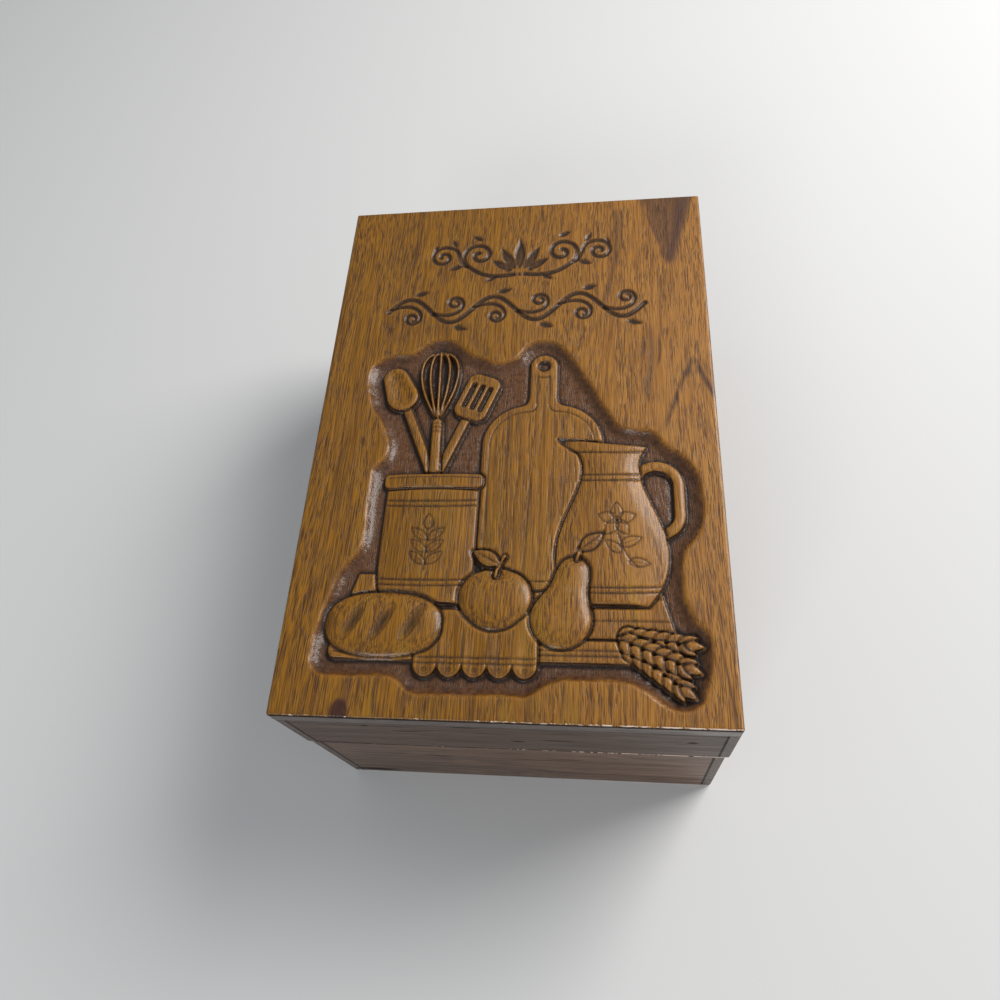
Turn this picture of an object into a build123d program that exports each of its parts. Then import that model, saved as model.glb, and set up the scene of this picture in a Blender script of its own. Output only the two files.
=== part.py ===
"""Hinged wooden box for recipe cards, with a kitchen still life carved in its lid.

The base is four boards round a thin bottom panel, and the lid is four rails under one thick
top board. Front and back boards seat in rabbets cut in the ends of the side boards. Two brass
butt hinges, let into the rims at the back, join lid and base.

Millimetres. The origin is the middle of the underside, +X is right, +Y back and +Z up.
"""

import os

from build123d import *

os.makedirs("parts", exist_ok=True)

# ---- Box: driving sizes --------------------------------------------------------------------
box_length = 246.0  # front to back
base_width = 165.0  # side to side, outside the base
box_height = 117.0  # underside to the top of the lid
lid_height = 48.5  # rim of the lid to its top
lid_overhang = 1.5  # lid past the base at each side
shut_gap = 0.3  # between the rims when shut
wall = 6.0  # thickness of every board and rail
top_thickness = 9.5  # the lid's carved board
corner_lip = 3.8  # side board left outside its rabbets
panel_thickness = 4.0  # the bottom panel
panel_clearance = 0.2  # round the bottom panel
corner_bevel = 0.6  # upright outer corners
rim_bevel = 0.45  # outer edges of the rims and the foot
top_edge_bevel = 0.7  # upper edges of the top board
seam_bevel = 0.35  # lower edges of the top board

# ---- Brads that hold the bottom panel ------------------------------------------------------
brad_width = 1.2  # along the board that it goes up into
brad_thickness = 1.0
brad_length = 14.0
brad_clearance = 0.05
side_brad_pitch = 78.0
cross_brad_pitch = 84.0

# ---- Hinges --------------------------------------------------------------------------------
hinge_inset = 39.0  # side of the lid to the middle of a hinge
hinge_length = 25.0
hinge_axis_out = 1.0  # pin's middle, outside the back face
knuckle_count = 3
knuckle_radius = 2.1
knuckle_gap = 0.3
pin_radius = 0.9
pin_clearance = 0.05
leaf_thickness = 1.1
leaf_reach = 4.9  # in from the back face
leaf_clearance = 0.1  # round a leaf in its mortise
barrel_clearance = 0.3  # round the barrel
screw_spacing = 15.0
screw_inset = 3.15  # in from the back face
screw_head_radius = 1.4
screw_neck_radius = 0.8
screw_shank_radius = 0.75  # to the corners of its eight sides, which stand for the thread
screw_shank_sides = 8
screw_length = 8.0
screw_clearance = 0.05
slot_width = 0.4
slot_depth = 0.4

# ---- Carving: depths, then each motif's size and place from the middle of the board ----------
carving_depth = 3.2  # board's face down to the ground
halo = 6.5  # ground left round the motifs
back_relief = 1.1  # how far the table top stands above the ground
board_relief = 1.5
edge_relief = 2.0
tool_relief = 2.2
cloth_relief = 2.4
wheat_relief = 2.6
crock_relief = 3.0
front_relief = 3.1  # fruit, loaf, jug and the crock's rim
ground_smoothing = 9.0  # corners between two halos
cove = 2.4  # slope at the foot of the ground's edge
set_in = 0.9  # groove round a motif that stands before another
root = 0.5  # how far a motif's solid goes below the ground
motif_bevel = 0.5
fruit_bevel = 1.4

table_half_width = 64.0
table_back_half_width = 57.0
table_back_y = -68.0
table_front_y = -93.0
table_edge_height = 8.5
table_edge_overhang = 1.0

cloth_x = -9.0
cloth_width = 46.0
cloth_top_y = -82.0
cloth_hem_y = -103.0
cloth_scallops = 5

board_x = 13.0
board_width = 50.0
board_foot_y = -74.0
board_shoulder_y = 8.0
board_shoulder_rounding = 19.0
grip_width = 12.0
grip_top_y = 34.0

crock_x = -31.0
crock_width = 38.0
crock_foot_width = 31.0
crock_foot_rise = 9.5
crock_foot_y = -80.0
crock_mouth_y = -28.0
crock_rim_height = 6.5
crock_rim_overhang = 1.6

handle_width = 4.2
spoon_lean = 23.0
spoon_handle = 40.0
spoon_bowl_width = 14.5
spoon_bowl_length = 21.0
spoon_tip_radius = 5.8
whisk_lean = 2.0
whisk_handle = 30.0
whisk_width = 17.0
whisk_length = 34.0
whisk_wire = 1.7
turner_lean = -21.0
turner_handle = 34.0
turner_width = 15.0
turner_length = 23.0
turner_slots = 3
turner_slot_width = 1.6
turner_slot_length = 13.0

jug_x = 41.0
jug_foot_y = -80.0
jug_foot_half = 13.0
jug_belly_y = -57.0
jug_belly_half = 21.0
jug_neck_y = -27.0
jug_neck_half = 11.0
jug_lip_y = -13.0
jug_lip_half = 14.5
spout_reach = 7.0
spout_rise = 4.0
ear_x = 58.5
ear_y = -37.0
ear_half_width = 11.0
ear_half_height = 17.0
ear_thickness = 4.6

loaf_x = -45.0
loaf_y = -88.0
loaf_length = 45.0
loaf_width = 25.0
loaf_end_radius = 9.5

apple_x = -3.0
apple_y = -77.0
apple_radius = 13.0

pear_x = 22.0
pear_y = -85.0
pear_radius = 11.5
pear_top_x = 26.5
pear_top_y = -67.0
pear_top_radius = 6.2

wheat_x = 54.0
wheat_y = -97.0
wheat_length = 30.0
wheat_width = 8.0
wheat_spread = 9.0
wheat_lean = 158.0
wheat_fan = 15.0

crown_rise = 2.1  # how far a rounded motif's middle stands over its sides

# ---- Sizes that follow ---------------------------------------------------------------------
lid_width = base_width + 2 * lid_overhang
base_height = box_height - lid_height - shut_gap
lid_rim_z = base_height + shut_gap
rail_height = lid_height - top_thickness
top_board_z = box_height - top_thickness
rabbet = wall - corner_lip
hinge_spacing = lid_width - 2 * hinge_inset
back_y = box_length / 2
axis_y = back_y + hinge_axis_out
axis_z = base_height + shut_gap / 2
hands = (("left", -1), ("right", 1))
ends = (("front", -1), ("back", 1))


def keep(builder, name):
    """Label a finished piece and write it."""
    builder.part.label = name
    export_step(builder.part, f"parts/{name}.step")


# ---- Boards and rails ----------------------------------------------------------------------
def side_plan(side, width):
    """Plan of a side board: full length, with a rabbet at each end for a cross board."""
    with Locations((side * (width - wall) / 2, 0)):
        Rectangle(wall, box_length)
    with Locations((side * (width / 2 - corner_lip - rabbet / 2), 0)):
        with GridLocations(0, box_length - wall, 1, 2):
            Rectangle(rabbet, wall, mode=Mode.SUBTRACT)


def cross_plan(end, width):
    """Plan of a front or back board, between the lips of the two side boards."""
    with Locations((0, end * (box_length - wall) / 2)):
        Rectangle(width - 2 * corner_lip, wall)


def outer_edges(face, width):
    """The edges of a rim or foot that lie on the outside of the box."""
    return face.edges().filter_by(
        lambda edge: abs(edge.center().X) > width / 2 - corner_bevel
        or abs(edge.center().Y) > box_length / 2 - corner_bevel
    )


def brad_spots():
    """Where the brads go through the bottom panel, and how each is turned to its board."""
    side_x = base_width / 2 - corner_lip - rabbet / 2
    cross_y = box_length / 2 - corner_lip - rabbet / 2
    turned = (0, 0, 90)
    spots = []
    for _, side in hands:
        spots += [Location((side * side_x, step * side_brad_pitch, 0), turned) for step in (-1, 0, 1)]
        spots += [Location((side * cross_brad_pitch / 2, end * cross_y, 0)) for _, end in ends]
    return spots


def brads(clearance, mode=Mode.ADD):
    """The brads themselves, or with a clearance the holes that they went up."""
    with Locations(*brad_spots()):
        Box(
            brad_width + 2 * clearance,
            brad_thickness + 2 * clearance,
            brad_length + clearance,
            align=(Align.CENTER, Align.CENTER, Align.MIN),
            mode=mode,
        )


def cut_panel_rabbet():
    """The rabbet round the foot of the base, and the brads' holes above it."""
    with Locations((0, 0, panel_thickness / 2)):
        Box(base_width - 2 * corner_lip, box_length - 2 * corner_lip, panel_thickness, mode=Mode.SUBTRACT)
    brads(brad_clearance, mode=Mode.SUBTRACT)


# ---- Hinges --------------------------------------------------------------------------------
knuckle_pitch = hinge_length / knuckle_count


def knuckle_spots(x, first):
    """Middles of every second knuckle of the hinge at x, from the first one given."""
    middle = (knuckle_count - 1) / 2
    return [(x + (i - middle) * knuckle_pitch, axis_y, axis_z) for i in range(first, knuckle_count, 2)]


def screw_spots(x, rim_z, into):
    """Where a leaf's screws start, with local -Z pointing into the wood."""
    tilt = 0 if into < 0 else 180
    y = back_y - screw_inset
    return [Location((x + side * screw_spacing / 2, y, rim_z), (tilt, 0, 0)) for _, side in hands]


def rod(radius, length, mode=Mode.ADD):
    """A cylinder along X."""
    Cylinder(radius, length, rotation=(0, 90, 0), mode=mode)


def build_shank(clearance):
    """A screw's shank, pointing down from the origin, or with a clearance the pilot hole for it."""
    with BuildPart() as prism:
        with BuildSketch():
            RegularPolygon(screw_shank_radius + clearance, screw_shank_sides)
        extrude(amount=-screw_length - clearance)
    return prism.part


screw_shank = build_shank(0)
pilot_hole = build_shank(screw_clearance)


def cut_hinge_seat(x, rim_z, into):
    """Mortise for a leaf, hollow for the barrel and pilot holes, into the wood (up +1, down -1)."""
    mortise_depth = leaf_reach + leaf_clearance
    with Locations((x, back_y - mortise_depth / 2, rim_z + into * leaf_thickness / 2)):
        Box(hinge_length + 2 * leaf_clearance, mortise_depth, leaf_thickness, mode=Mode.SUBTRACT)
    with Locations((x, axis_y, axis_z)):
        rod(knuckle_radius + barrel_clearance, hinge_length + 2 * leaf_clearance, mode=Mode.SUBTRACT)
    with Locations(*screw_spots(x, rim_z, into)):
        add(pilot_hole, mode=Mode.SUBTRACT)


def countersink(clearance, mode=Mode.ADD):
    """A screw's head, as deep as a leaf, or with a clearance the hole for it."""
    radii = (screw_neck_radius + clearance, screw_head_radius + clearance)
    Cone(*radii, leaf_thickness, align=(Align.CENTER, Align.CENTER, Align.MAX), mode=mode)


def build_leaf(x, rim_z, into, first):
    """One leaf of the hinge at x: a notched plate with countersunk holes, and its share of the knuckles."""
    plate_depth = leaf_reach + hinge_axis_out
    notch_depth = knuckle_radius + barrel_clearance
    with BuildPart() as leaf:
        with Locations((x, axis_y - plate_depth / 2, rim_z + into * leaf_thickness / 2)):
            Box(hinge_length, plate_depth, leaf_thickness)
        with Locations(*knuckle_spots(x, first)):
            rod(knuckle_radius, knuckle_pitch - knuckle_gap)
        with Locations(*knuckle_spots(x, 1 - first)):
            Box(knuckle_pitch + knuckle_gap, 2 * notch_depth, 2 * notch_depth, mode=Mode.SUBTRACT)
        with Locations((x, axis_y, axis_z)):
            rod(pin_radius + pin_clearance, hinge_length, mode=Mode.SUBTRACT)
        with Locations(*screw_spots(x, rim_z, into)):
            countersink(screw_clearance, mode=Mode.SUBTRACT)
    return leaf


with BuildPart() as one_screw:
    countersink(0)
    add(screw_shank)
    Box(2 * screw_head_radius, slot_width, 2 * slot_depth, mode=Mode.SUBTRACT)


def build_screws(x, rim_z, into):
    """The two screws of a leaf, heads flush with it."""
    with BuildPart() as screws:
        with Locations(*screw_spots(x, rim_z, into)):
            add(one_screw.part)
    return screws


for hand, side in hands:
    hinge_x = side * hinge_spacing / 2
    keep(build_leaf(hinge_x, base_height, -1, 0), f"{hand}_hinge_base_leaf")
    keep(build_leaf(hinge_x, lid_rim_z, 1, 1), f"{hand}_hinge_lid_leaf")
    keep(build_screws(hinge_x, base_height, -1), f"{hand}_hinge_base_screws")
    keep(build_screws(hinge_x, lid_rim_z, 1), f"{hand}_hinge_lid_screws")
    with BuildPart() as hinge_pin:
        with Locations((hinge_x, axis_y, axis_z)):
            rod(pin_radius, hinge_length)
    keep(hinge_pin, f"{hand}_hinge_pin")

# ---- Base ----------------------------------------------------------------------------------
for hand, side in hands:
    with BuildPart() as base_side_board:
        with BuildSketch():
            side_plan(side, base_width)
        extrude(amount=base_height)
        chamfer(base_side_board.edges().filter_by(Axis.Z).group_by(SortBy.DISTANCE)[-1], corner_bevel)
        for last in (-1, 0):
            face = base_side_board.faces().sort_by(Axis.Z)[last]
            chamfer(outer_edges(face, base_width), rim_bevel)
        cut_panel_rabbet()
    keep(base_side_board, f"base_{hand}_board")

for place, end in ends:
    with BuildPart() as base_cross_board:
        with BuildSketch():
            cross_plan(end, base_width)
        extrude(amount=base_height)
        for last in (-1, 0):
            face = base_cross_board.faces().sort_by(Axis.Z)[last]
            chamfer(outer_edges(face, base_width), rim_bevel)
        cut_panel_rabbet()
        if place == "back":
            for _, side in hands:
                cut_hinge_seat(side * hinge_spacing / 2, base_height, -1)
    keep(base_cross_board, f"base_{place}_board")

with BuildPart() as base_bottom_panel:
    with BuildSketch():
        Rectangle(
            base_width - 2 * (corner_lip + panel_clearance),
            box_length - 2 * (corner_lip + panel_clearance),
        )
    extrude(amount=panel_thickness)
    brads(brad_clearance, mode=Mode.SUBTRACT)
keep(base_bottom_panel, "base_bottom_panel")

with BuildPart() as bottom_panel_brads:
    brads(0)
keep(bottom_panel_brads, "bottom_panel_brads")

# ---- Lid rails -----------------------------------------------------------------------------
for hand, side in hands:
    with BuildPart() as lid_side_rail:
        with BuildSketch(Plane.XY.offset(lid_rim_z)):
            side_plan(side, lid_width)
        extrude(amount=rail_height)
        chamfer(lid_side_rail.edges().filter_by(Axis.Z).group_by(SortBy.DISTANCE)[-1], corner_bevel)
        chamfer(outer_edges(lid_side_rail.faces().sort_by(Axis.Z)[0], lid_width), rim_bevel)
    keep(lid_side_rail, f"lid_{hand}_rail")

for place, end in ends:
    with BuildPart() as lid_cross_rail:
        with BuildSketch(Plane.XY.offset(lid_rim_z)):
            cross_plan(end, lid_width)
        extrude(amount=rail_height)
        chamfer(outer_edges(lid_cross_rail.faces().sort_by(Axis.Z)[0], lid_width), rim_bevel)
        if place == "back":
            for _, side in hands:
                cut_hinge_seat(side * hinge_spacing / 2, lid_rim_z, 1)
    keep(lid_cross_rail, f"lid_{place}_rail")

# ---- Carving -------------------------------------------------------------------------------
ground_z = box_height - carving_depth


def slab(outline, height, bevel=0.0):
    """A motif cut from its outline, its flat top at a height above the ground."""
    with BuildPart() as mass:
        with BuildSketch(Plane.XY.offset(ground_z - root)):
            add(outline.sketch)
        extrude(amount=root + height)
        if bevel:
            chamfer(mass.faces().sort_by(Axis.Z)[-1].outer_wire().edges(), bevel)
    return mass.part


def crowned(outline, height, half_width, place, turn=0):
    """A motif whose top is arched across its width, like a lying cylinder."""
    radius = (half_width**2 + crown_rise**2) / (2 * crown_rise)
    with BuildPart() as mass:
        with BuildSketch(Plane.XY.offset(ground_z - root)):
            add(outline.sketch)
        extrude(amount=root + height)
        with Locations(Location((*place, ground_z + height - radius), (0, 0, turn))):
            Cylinder(radius, box_length, rotation=(90, 0, 0), mode=Mode.INTERSECT)
    return mass.part


# The table: its top seen from above, and its front edge.
with BuildSketch() as table_top:
    with BuildLine():
        Polyline(
            (-table_half_width, table_front_y),
            (table_half_width, table_front_y),
            (table_back_half_width, table_back_y),
            (-table_back_half_width, table_back_y),
            close=True,
        )
    make_face()
with BuildSketch() as table_edge:
    with Locations((0, table_front_y - table_edge_height / 2)):
        Rectangle(2 * (table_half_width + table_edge_overhang), table_edge_height)

# The cloth over its edge, with a scalloped hem.
scallop = cloth_width / cloth_scallops
with BuildSketch() as cloth:
    with Locations((cloth_x, (cloth_top_y + cloth_hem_y) / 2)):
        Rectangle(cloth_width, cloth_top_y - cloth_hem_y)
    with Locations((cloth_x, cloth_hem_y)):
        with GridLocations(scallop, 0, cloth_scallops, 1):
            Circle(scallop / 2)

# The bread board behind.
with BuildSketch() as bread_board:
    with Locations((board_x, (board_foot_y + board_shoulder_y) / 2)):
        Rectangle(board_width, board_shoulder_y - board_foot_y)
    fillet(bread_board.vertices().group_by(Axis.Y)[-1], board_shoulder_rounding)
    with Locations((board_x, (board_shoulder_y - grip_width + grip_top_y) / 2)):
        SlotOverall(grip_top_y - board_shoulder_y + grip_width, grip_width, rotation=90)

# The crock and what stands in it. Each tool is drawn upright from the mouth, then leans.
with BuildSketch() as crock:
    with BuildLine():
        Polyline(
            (crock_x - crock_foot_width / 2, crock_foot_y),
            (crock_x + crock_foot_width / 2, crock_foot_y),
            (crock_x + crock_width / 2, crock_foot_y + crock_foot_rise),
            (crock_x + crock_width / 2, crock_mouth_y),
            (crock_x - crock_width / 2, crock_mouth_y),
            (crock_x - crock_width / 2, crock_foot_y + crock_foot_rise),
            close=True,
        )
    make_face()
    fillet(crock.vertices().group_by(Axis.Y)[1], crock_foot_rise)
crock_rim_half = crock_width / 2 + crock_rim_overhang
with BuildSketch() as crock_rim:
    with Locations((crock_x, crock_mouth_y)):
        Rectangle(2 * crock_rim_half, crock_rim_height)
crock_mouth = (crock_x, crock_mouth_y, 0)

with BuildSketch() as spoon_bowl:
    with Locations((0, spoon_handle + (spoon_bowl_width - handle_width) / 2)):
        Circle(spoon_bowl_width / 2)
    with Locations((0, spoon_handle + spoon_bowl_length - spoon_tip_radius)):
        Circle(spoon_tip_radius)
    make_hull()
with BuildSketch() as spoon:
    with Locations(Location(crock_mouth, (0, 0, spoon_lean))):
        with Locations((0, spoon_handle / 2)):
            SlotOverall(spoon_handle, handle_width, rotation=90)
        add(spoon_bowl.sketch)

with BuildSketch() as whisk_handle_bar:
    with Locations(Location(crock_mouth, (0, 0, whisk_lean))):
        with Locations((0, whisk_handle / 2)):
            SlotOverall(whisk_handle, handle_width, rotation=90)
with BuildSketch() as whisk_loop:
    with Locations(Location(crock_mouth, (0, 0, whisk_lean))):
        with Locations((0, whisk_handle + whisk_length - whisk_width / 2)):
            Circle(whisk_width / 2)
        with Locations((0, whisk_handle)):
            Circle(handle_width / 2)
    make_hull()
with BuildSketch() as whisk:
    add(whisk_loop.sketch)
    offset(amount=-whisk_wire, mode=Mode.SUBTRACT)
    with Locations(Location(crock_mouth, (0, 0, whisk_lean))):
        with Locations((0, whisk_handle + whisk_length / 2)):
            Rectangle(whisk_wire, whisk_length - whisk_wire)
    add(whisk_handle_bar.sketch)

with BuildSketch() as turner:
    with Locations(Location(crock_mouth, (0, 0, turner_lean))):
        with Locations((0, turner_handle / 2)):
            SlotOverall(turner_handle, handle_width, rotation=90)
        with Locations((0, turner_handle + turner_length / 2 - handle_width / 2)):
            Rectangle(turner_width, turner_length)
            with GridLocations(turner_width / (turner_slots + 1), 0, turner_slots, 1):
                Rectangle(turner_slot_width, turner_slot_length, mode=Mode.SUBTRACT)

# The jug: half of its outline, mirrored, with a spout at the left and an ear at the right.
with BuildSketch() as jug:
    with BuildLine():
        shoulder = (jug_x + (jug_belly_half + jug_neck_half) / 2, (jug_belly_y + jug_neck_y) / 2)
        Line((jug_x, jug_foot_y), (jug_x + jug_foot_half, jug_foot_y))
        ThreePointArc((jug_x + jug_foot_half, jug_foot_y), (jug_x + jug_belly_half, jug_belly_y), shoulder)
        ThreePointArc(shoulder, (jug_x + jug_neck_half, jug_neck_y), (jug_x + jug_lip_half, jug_lip_y))
        Line((jug_x + jug_lip_half, jug_lip_y), (jug_x, jug_lip_y))
        mirror(about=Plane.YZ.offset(jug_x))
    make_face()
    with BuildLine():
        Polyline(
            (jug_x, jug_lip_y),
            (jug_x - jug_lip_half - spout_reach, jug_lip_y + spout_rise),
            (jug_x - jug_neck_half, (jug_neck_y + jug_lip_y) / 2),
            close=True,
        )
    make_face()
with BuildSketch() as jug_ear:
    with Locations((ear_x, ear_y)):
        SlotOverall(2 * ear_half_height, 2 * ear_half_width, rotation=90)
        SlotOverall(
            2 * (ear_half_height - ear_thickness),
            2 * (ear_half_width - ear_thickness),
            rotation=90,
            mode=Mode.SUBTRACT,
        )

# Food on the table.
with BuildSketch() as loaf:
    with Locations((loaf_x, loaf_y)):
        Circle(loaf_width / 2)
        with GridLocations(loaf_length - 2 * loaf_end_radius, 0, 2, 1):
            Circle(loaf_end_radius)
    make_hull()
with BuildSketch() as apple:
    with Locations((apple_x, apple_y)):
        Circle(apple_radius)
with BuildSketch() as pear:
    with Locations((pear_x, pear_y)):
        Circle(pear_radius)
    with Locations((pear_top_x, pear_top_y)):
        Circle(pear_top_radius)
    make_hull()
with BuildSketch() as wheat_ear:
    with BuildLine():
        ThreePointArc((-wheat_length / 2, 0), (0, wheat_width / 2), (wheat_length / 2, 0))
        ThreePointArc((-wheat_length / 2, 0), (0, -wheat_width / 2), (wheat_length / 2, 0))
    make_face()
with BuildSketch() as wheat:
    for step in (-1, 0, 1):
        lean = wheat_lean + step * wheat_fan
        with Locations(Location((wheat_x, wheat_y + step * wheat_spread / 2, 0), (0, 0, lean))):
            add(wheat_ear.sketch)

# Back to front.
motifs = (
    (table_top, slab(table_top, back_relief)),
    (table_edge, slab(table_edge, edge_relief, motif_bevel)),
    (bread_board, slab(bread_board, board_relief, motif_bevel)),
    (spoon, slab(spoon, tool_relief)),
    (turner, slab(turner, tool_relief)),
    (whisk, slab(whisk, tool_relief)),
    (crock, crowned(crock, crock_relief, crock_width / 2, (crock_x, crock_mouth_y))),
    (crock_rim, crowned(crock_rim, front_relief, crock_rim_half, (crock_x, crock_mouth_y))),
    (jug_ear, slab(jug_ear, tool_relief)),
    (jug, crowned(jug, front_relief, jug_belly_half, (jug_x, jug_belly_y))),
    (cloth, slab(cloth, cloth_relief)),
    (loaf, crowned(loaf, front_relief, loaf_width / 2, (loaf_x, loaf_y), 90)),
    (apple, slab(apple, front_relief, fruit_bevel)),
    (wheat, slab(wheat, wheat_relief)),
    (pear, slab(pear, front_relief, fruit_bevel)),
)

# Each motif is cut back where a later one stands before it, with a groove between them.
plugs = []
for outline, _ in motifs:
    with BuildPart() as plug:
        with BuildSketch(Plane.XY.offset(ground_z)):
            add(outline.sketch)
            offset(amount=set_in)
        extrude(amount=carving_depth)
    plugs.append(plug.part)
reliefs = []
for number, (_, mass) in enumerate(motifs):
    with BuildPart() as relief:
        add(mass)
        add(plugs[number + 1 :], mode=Mode.SUBTRACT)
    reliefs.append(relief.part)

# The sunk ground: a smooth outline round the motifs that reach furthest, sloping at its foot.
outer_motifs = (table_top, table_edge, cloth, bread_board, crock, spoon, whisk, turner, jug, jug_ear, wheat)
hulls = []
for outline in outer_motifs:
    with BuildSketch() as hull:
        add(outline.sketch)
        make_hull()
    hulls.append(hull.sketch)
with BuildPart() as ground:
    with BuildSketch(Plane.XY.offset(box_height)):
        for hull in hulls:
            offset(hull, amount=halo + ground_smoothing, mode=Mode.ADD)
        offset(amount=-ground_smoothing)
    extrude(amount=-carving_depth)
    chamfer(ground.faces().sort_by(Axis.Z)[0].edges(), cove)

# ---- Top board -----------------------------------------------------------------------------
with BuildPart() as lid_top_board:
    with BuildSketch(Plane.XY.offset(top_board_z)):
        Rectangle(lid_width, box_length)
    extrude(amount=top_thickness)
    chamfer(lid_top_board.edges().filter_by(Axis.Z), corner_bevel)
    chamfer(lid_top_board.faces().sort_by(Axis.Z)[-1].edges(), top_edge_bevel)
    chamfer(lid_top_board.faces().sort_by(Axis.Z)[0].edges(), seam_bevel)
    add(ground.part, mode=Mode.SUBTRACT)
    add(reliefs)
keep(lid_top_board, "lid_top_board")
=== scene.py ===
"""Looks of the carved recipe card box: camera, light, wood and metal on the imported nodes, and the
lid's carved board as one fine mesh.
"""

import math

import bpy
import numpy as np
from mathutils import Euler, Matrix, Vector


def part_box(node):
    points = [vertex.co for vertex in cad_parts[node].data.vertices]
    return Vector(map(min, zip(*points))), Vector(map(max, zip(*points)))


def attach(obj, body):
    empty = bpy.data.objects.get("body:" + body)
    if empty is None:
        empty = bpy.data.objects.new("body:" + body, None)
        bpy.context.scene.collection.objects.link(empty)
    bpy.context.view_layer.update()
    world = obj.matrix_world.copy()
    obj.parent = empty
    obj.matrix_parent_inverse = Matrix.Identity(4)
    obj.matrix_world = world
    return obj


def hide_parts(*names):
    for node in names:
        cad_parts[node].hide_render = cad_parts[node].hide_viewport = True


MM = 0.001
SHUT_LINE = 68.35  # height of the line between the base and the lid
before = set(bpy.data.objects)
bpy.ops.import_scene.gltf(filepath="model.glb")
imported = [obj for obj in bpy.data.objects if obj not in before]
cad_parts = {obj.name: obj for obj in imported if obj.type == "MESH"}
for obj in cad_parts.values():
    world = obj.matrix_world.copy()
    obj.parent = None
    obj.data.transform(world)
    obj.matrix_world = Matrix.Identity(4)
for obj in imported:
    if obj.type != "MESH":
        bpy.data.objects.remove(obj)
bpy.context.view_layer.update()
board_low, board_high = [[v / MM for v in corner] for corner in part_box("lid_top_board")]
LID_WIDTH = board_high[0] - board_low[0]
LID_LENGTH = board_high[1] - board_low[1]
LID_THICKNESS = board_high[2] - board_low[2]
LID_TOP = board_high[2]
FRONT = board_low[1]  # y of the front face

# ---- Camera
# Solved from the rule's marks and the lid's corners.
CAMERA_PLACE = (43.3, -185.0, 420.9)
CAMERA_TURN_DEG = (30.763, 8.078, 3.613)
LENS = 30.747
SENSOR = 36.0
SHIFT = (0.0161, -0.0691)


def add(name, data):
    added = bpy.data.objects.new(name, data)
    bpy.context.collection.objects.link(added)
    return added


def add_camera():
    data = bpy.data.cameras.new("camera")
    data.lens = LENS
    data.sensor_width = SENSOR
    data.shift_x, data.shift_y = SHIFT
    camera = add("camera", data)
    camera.location = Vector(CAMERA_PLACE) * MM
    camera.rotation_euler = Euler([math.radians(a) for a in CAMERA_TURN_DEG], "XYZ")
    bpy.context.scene.camera = camera


# ---- Material graphs
def linear(*srgb):
    """A 0-255 sRGB colour as Blender's linear RGBA."""
    shares = [c / 255 for c in srgb]
    return (*[s / 12.92 if s <= 0.04045 else ((s + 0.055) / 1.055) ** 2.4 for s in shares], 1)


class Field:
    """A number that varies over a surface. Arithmetic with it adds nodes to its graph."""

    def __init__(self, graph, socket):
        self.graph, self.socket = graph, socket

    def math(self, operation, *others):
        node = self.graph.node("ShaderNodeMath", {"operation": operation})
        for socket, value in zip(node.inputs, (self, *others)):
            self.graph.put(socket, value)
        return Field(self.graph, node.outputs[0])

    def __add__(self, other):
        return self.math("ADD", other)

    def __sub__(self, other):
        return self.math("SUBTRACT", other)

    def __rsub__(self, other):
        return self.math("MULTIPLY_ADD", -1.0, other)

    def __mul__(self, other):
        return self.math("MULTIPLY", other)

    def __abs__(self):
        return self.math("ABSOLUTE")

    def largest(self, other):
        return self.math("MAXIMUM", other)

    def clamped(self):
        """Held between 0 and 1."""
        return Field(self.graph, self.graph.node("ShaderNodeClamp", Value=self).outputs["Result"])

    def ramp(self, low, high):
        """0 at low, 1 at high, smooth between and level beyond, whichever of the two is larger."""
        smooth_step = {"interpolation_type": "SMOOTHSTEP"}
        node = self.graph.node("ShaderNodeMapRange", smooth_step, Value=self, From_Min=low, From_Max=high)
        return Field(self.graph, node.outputs["Result"])


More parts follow.
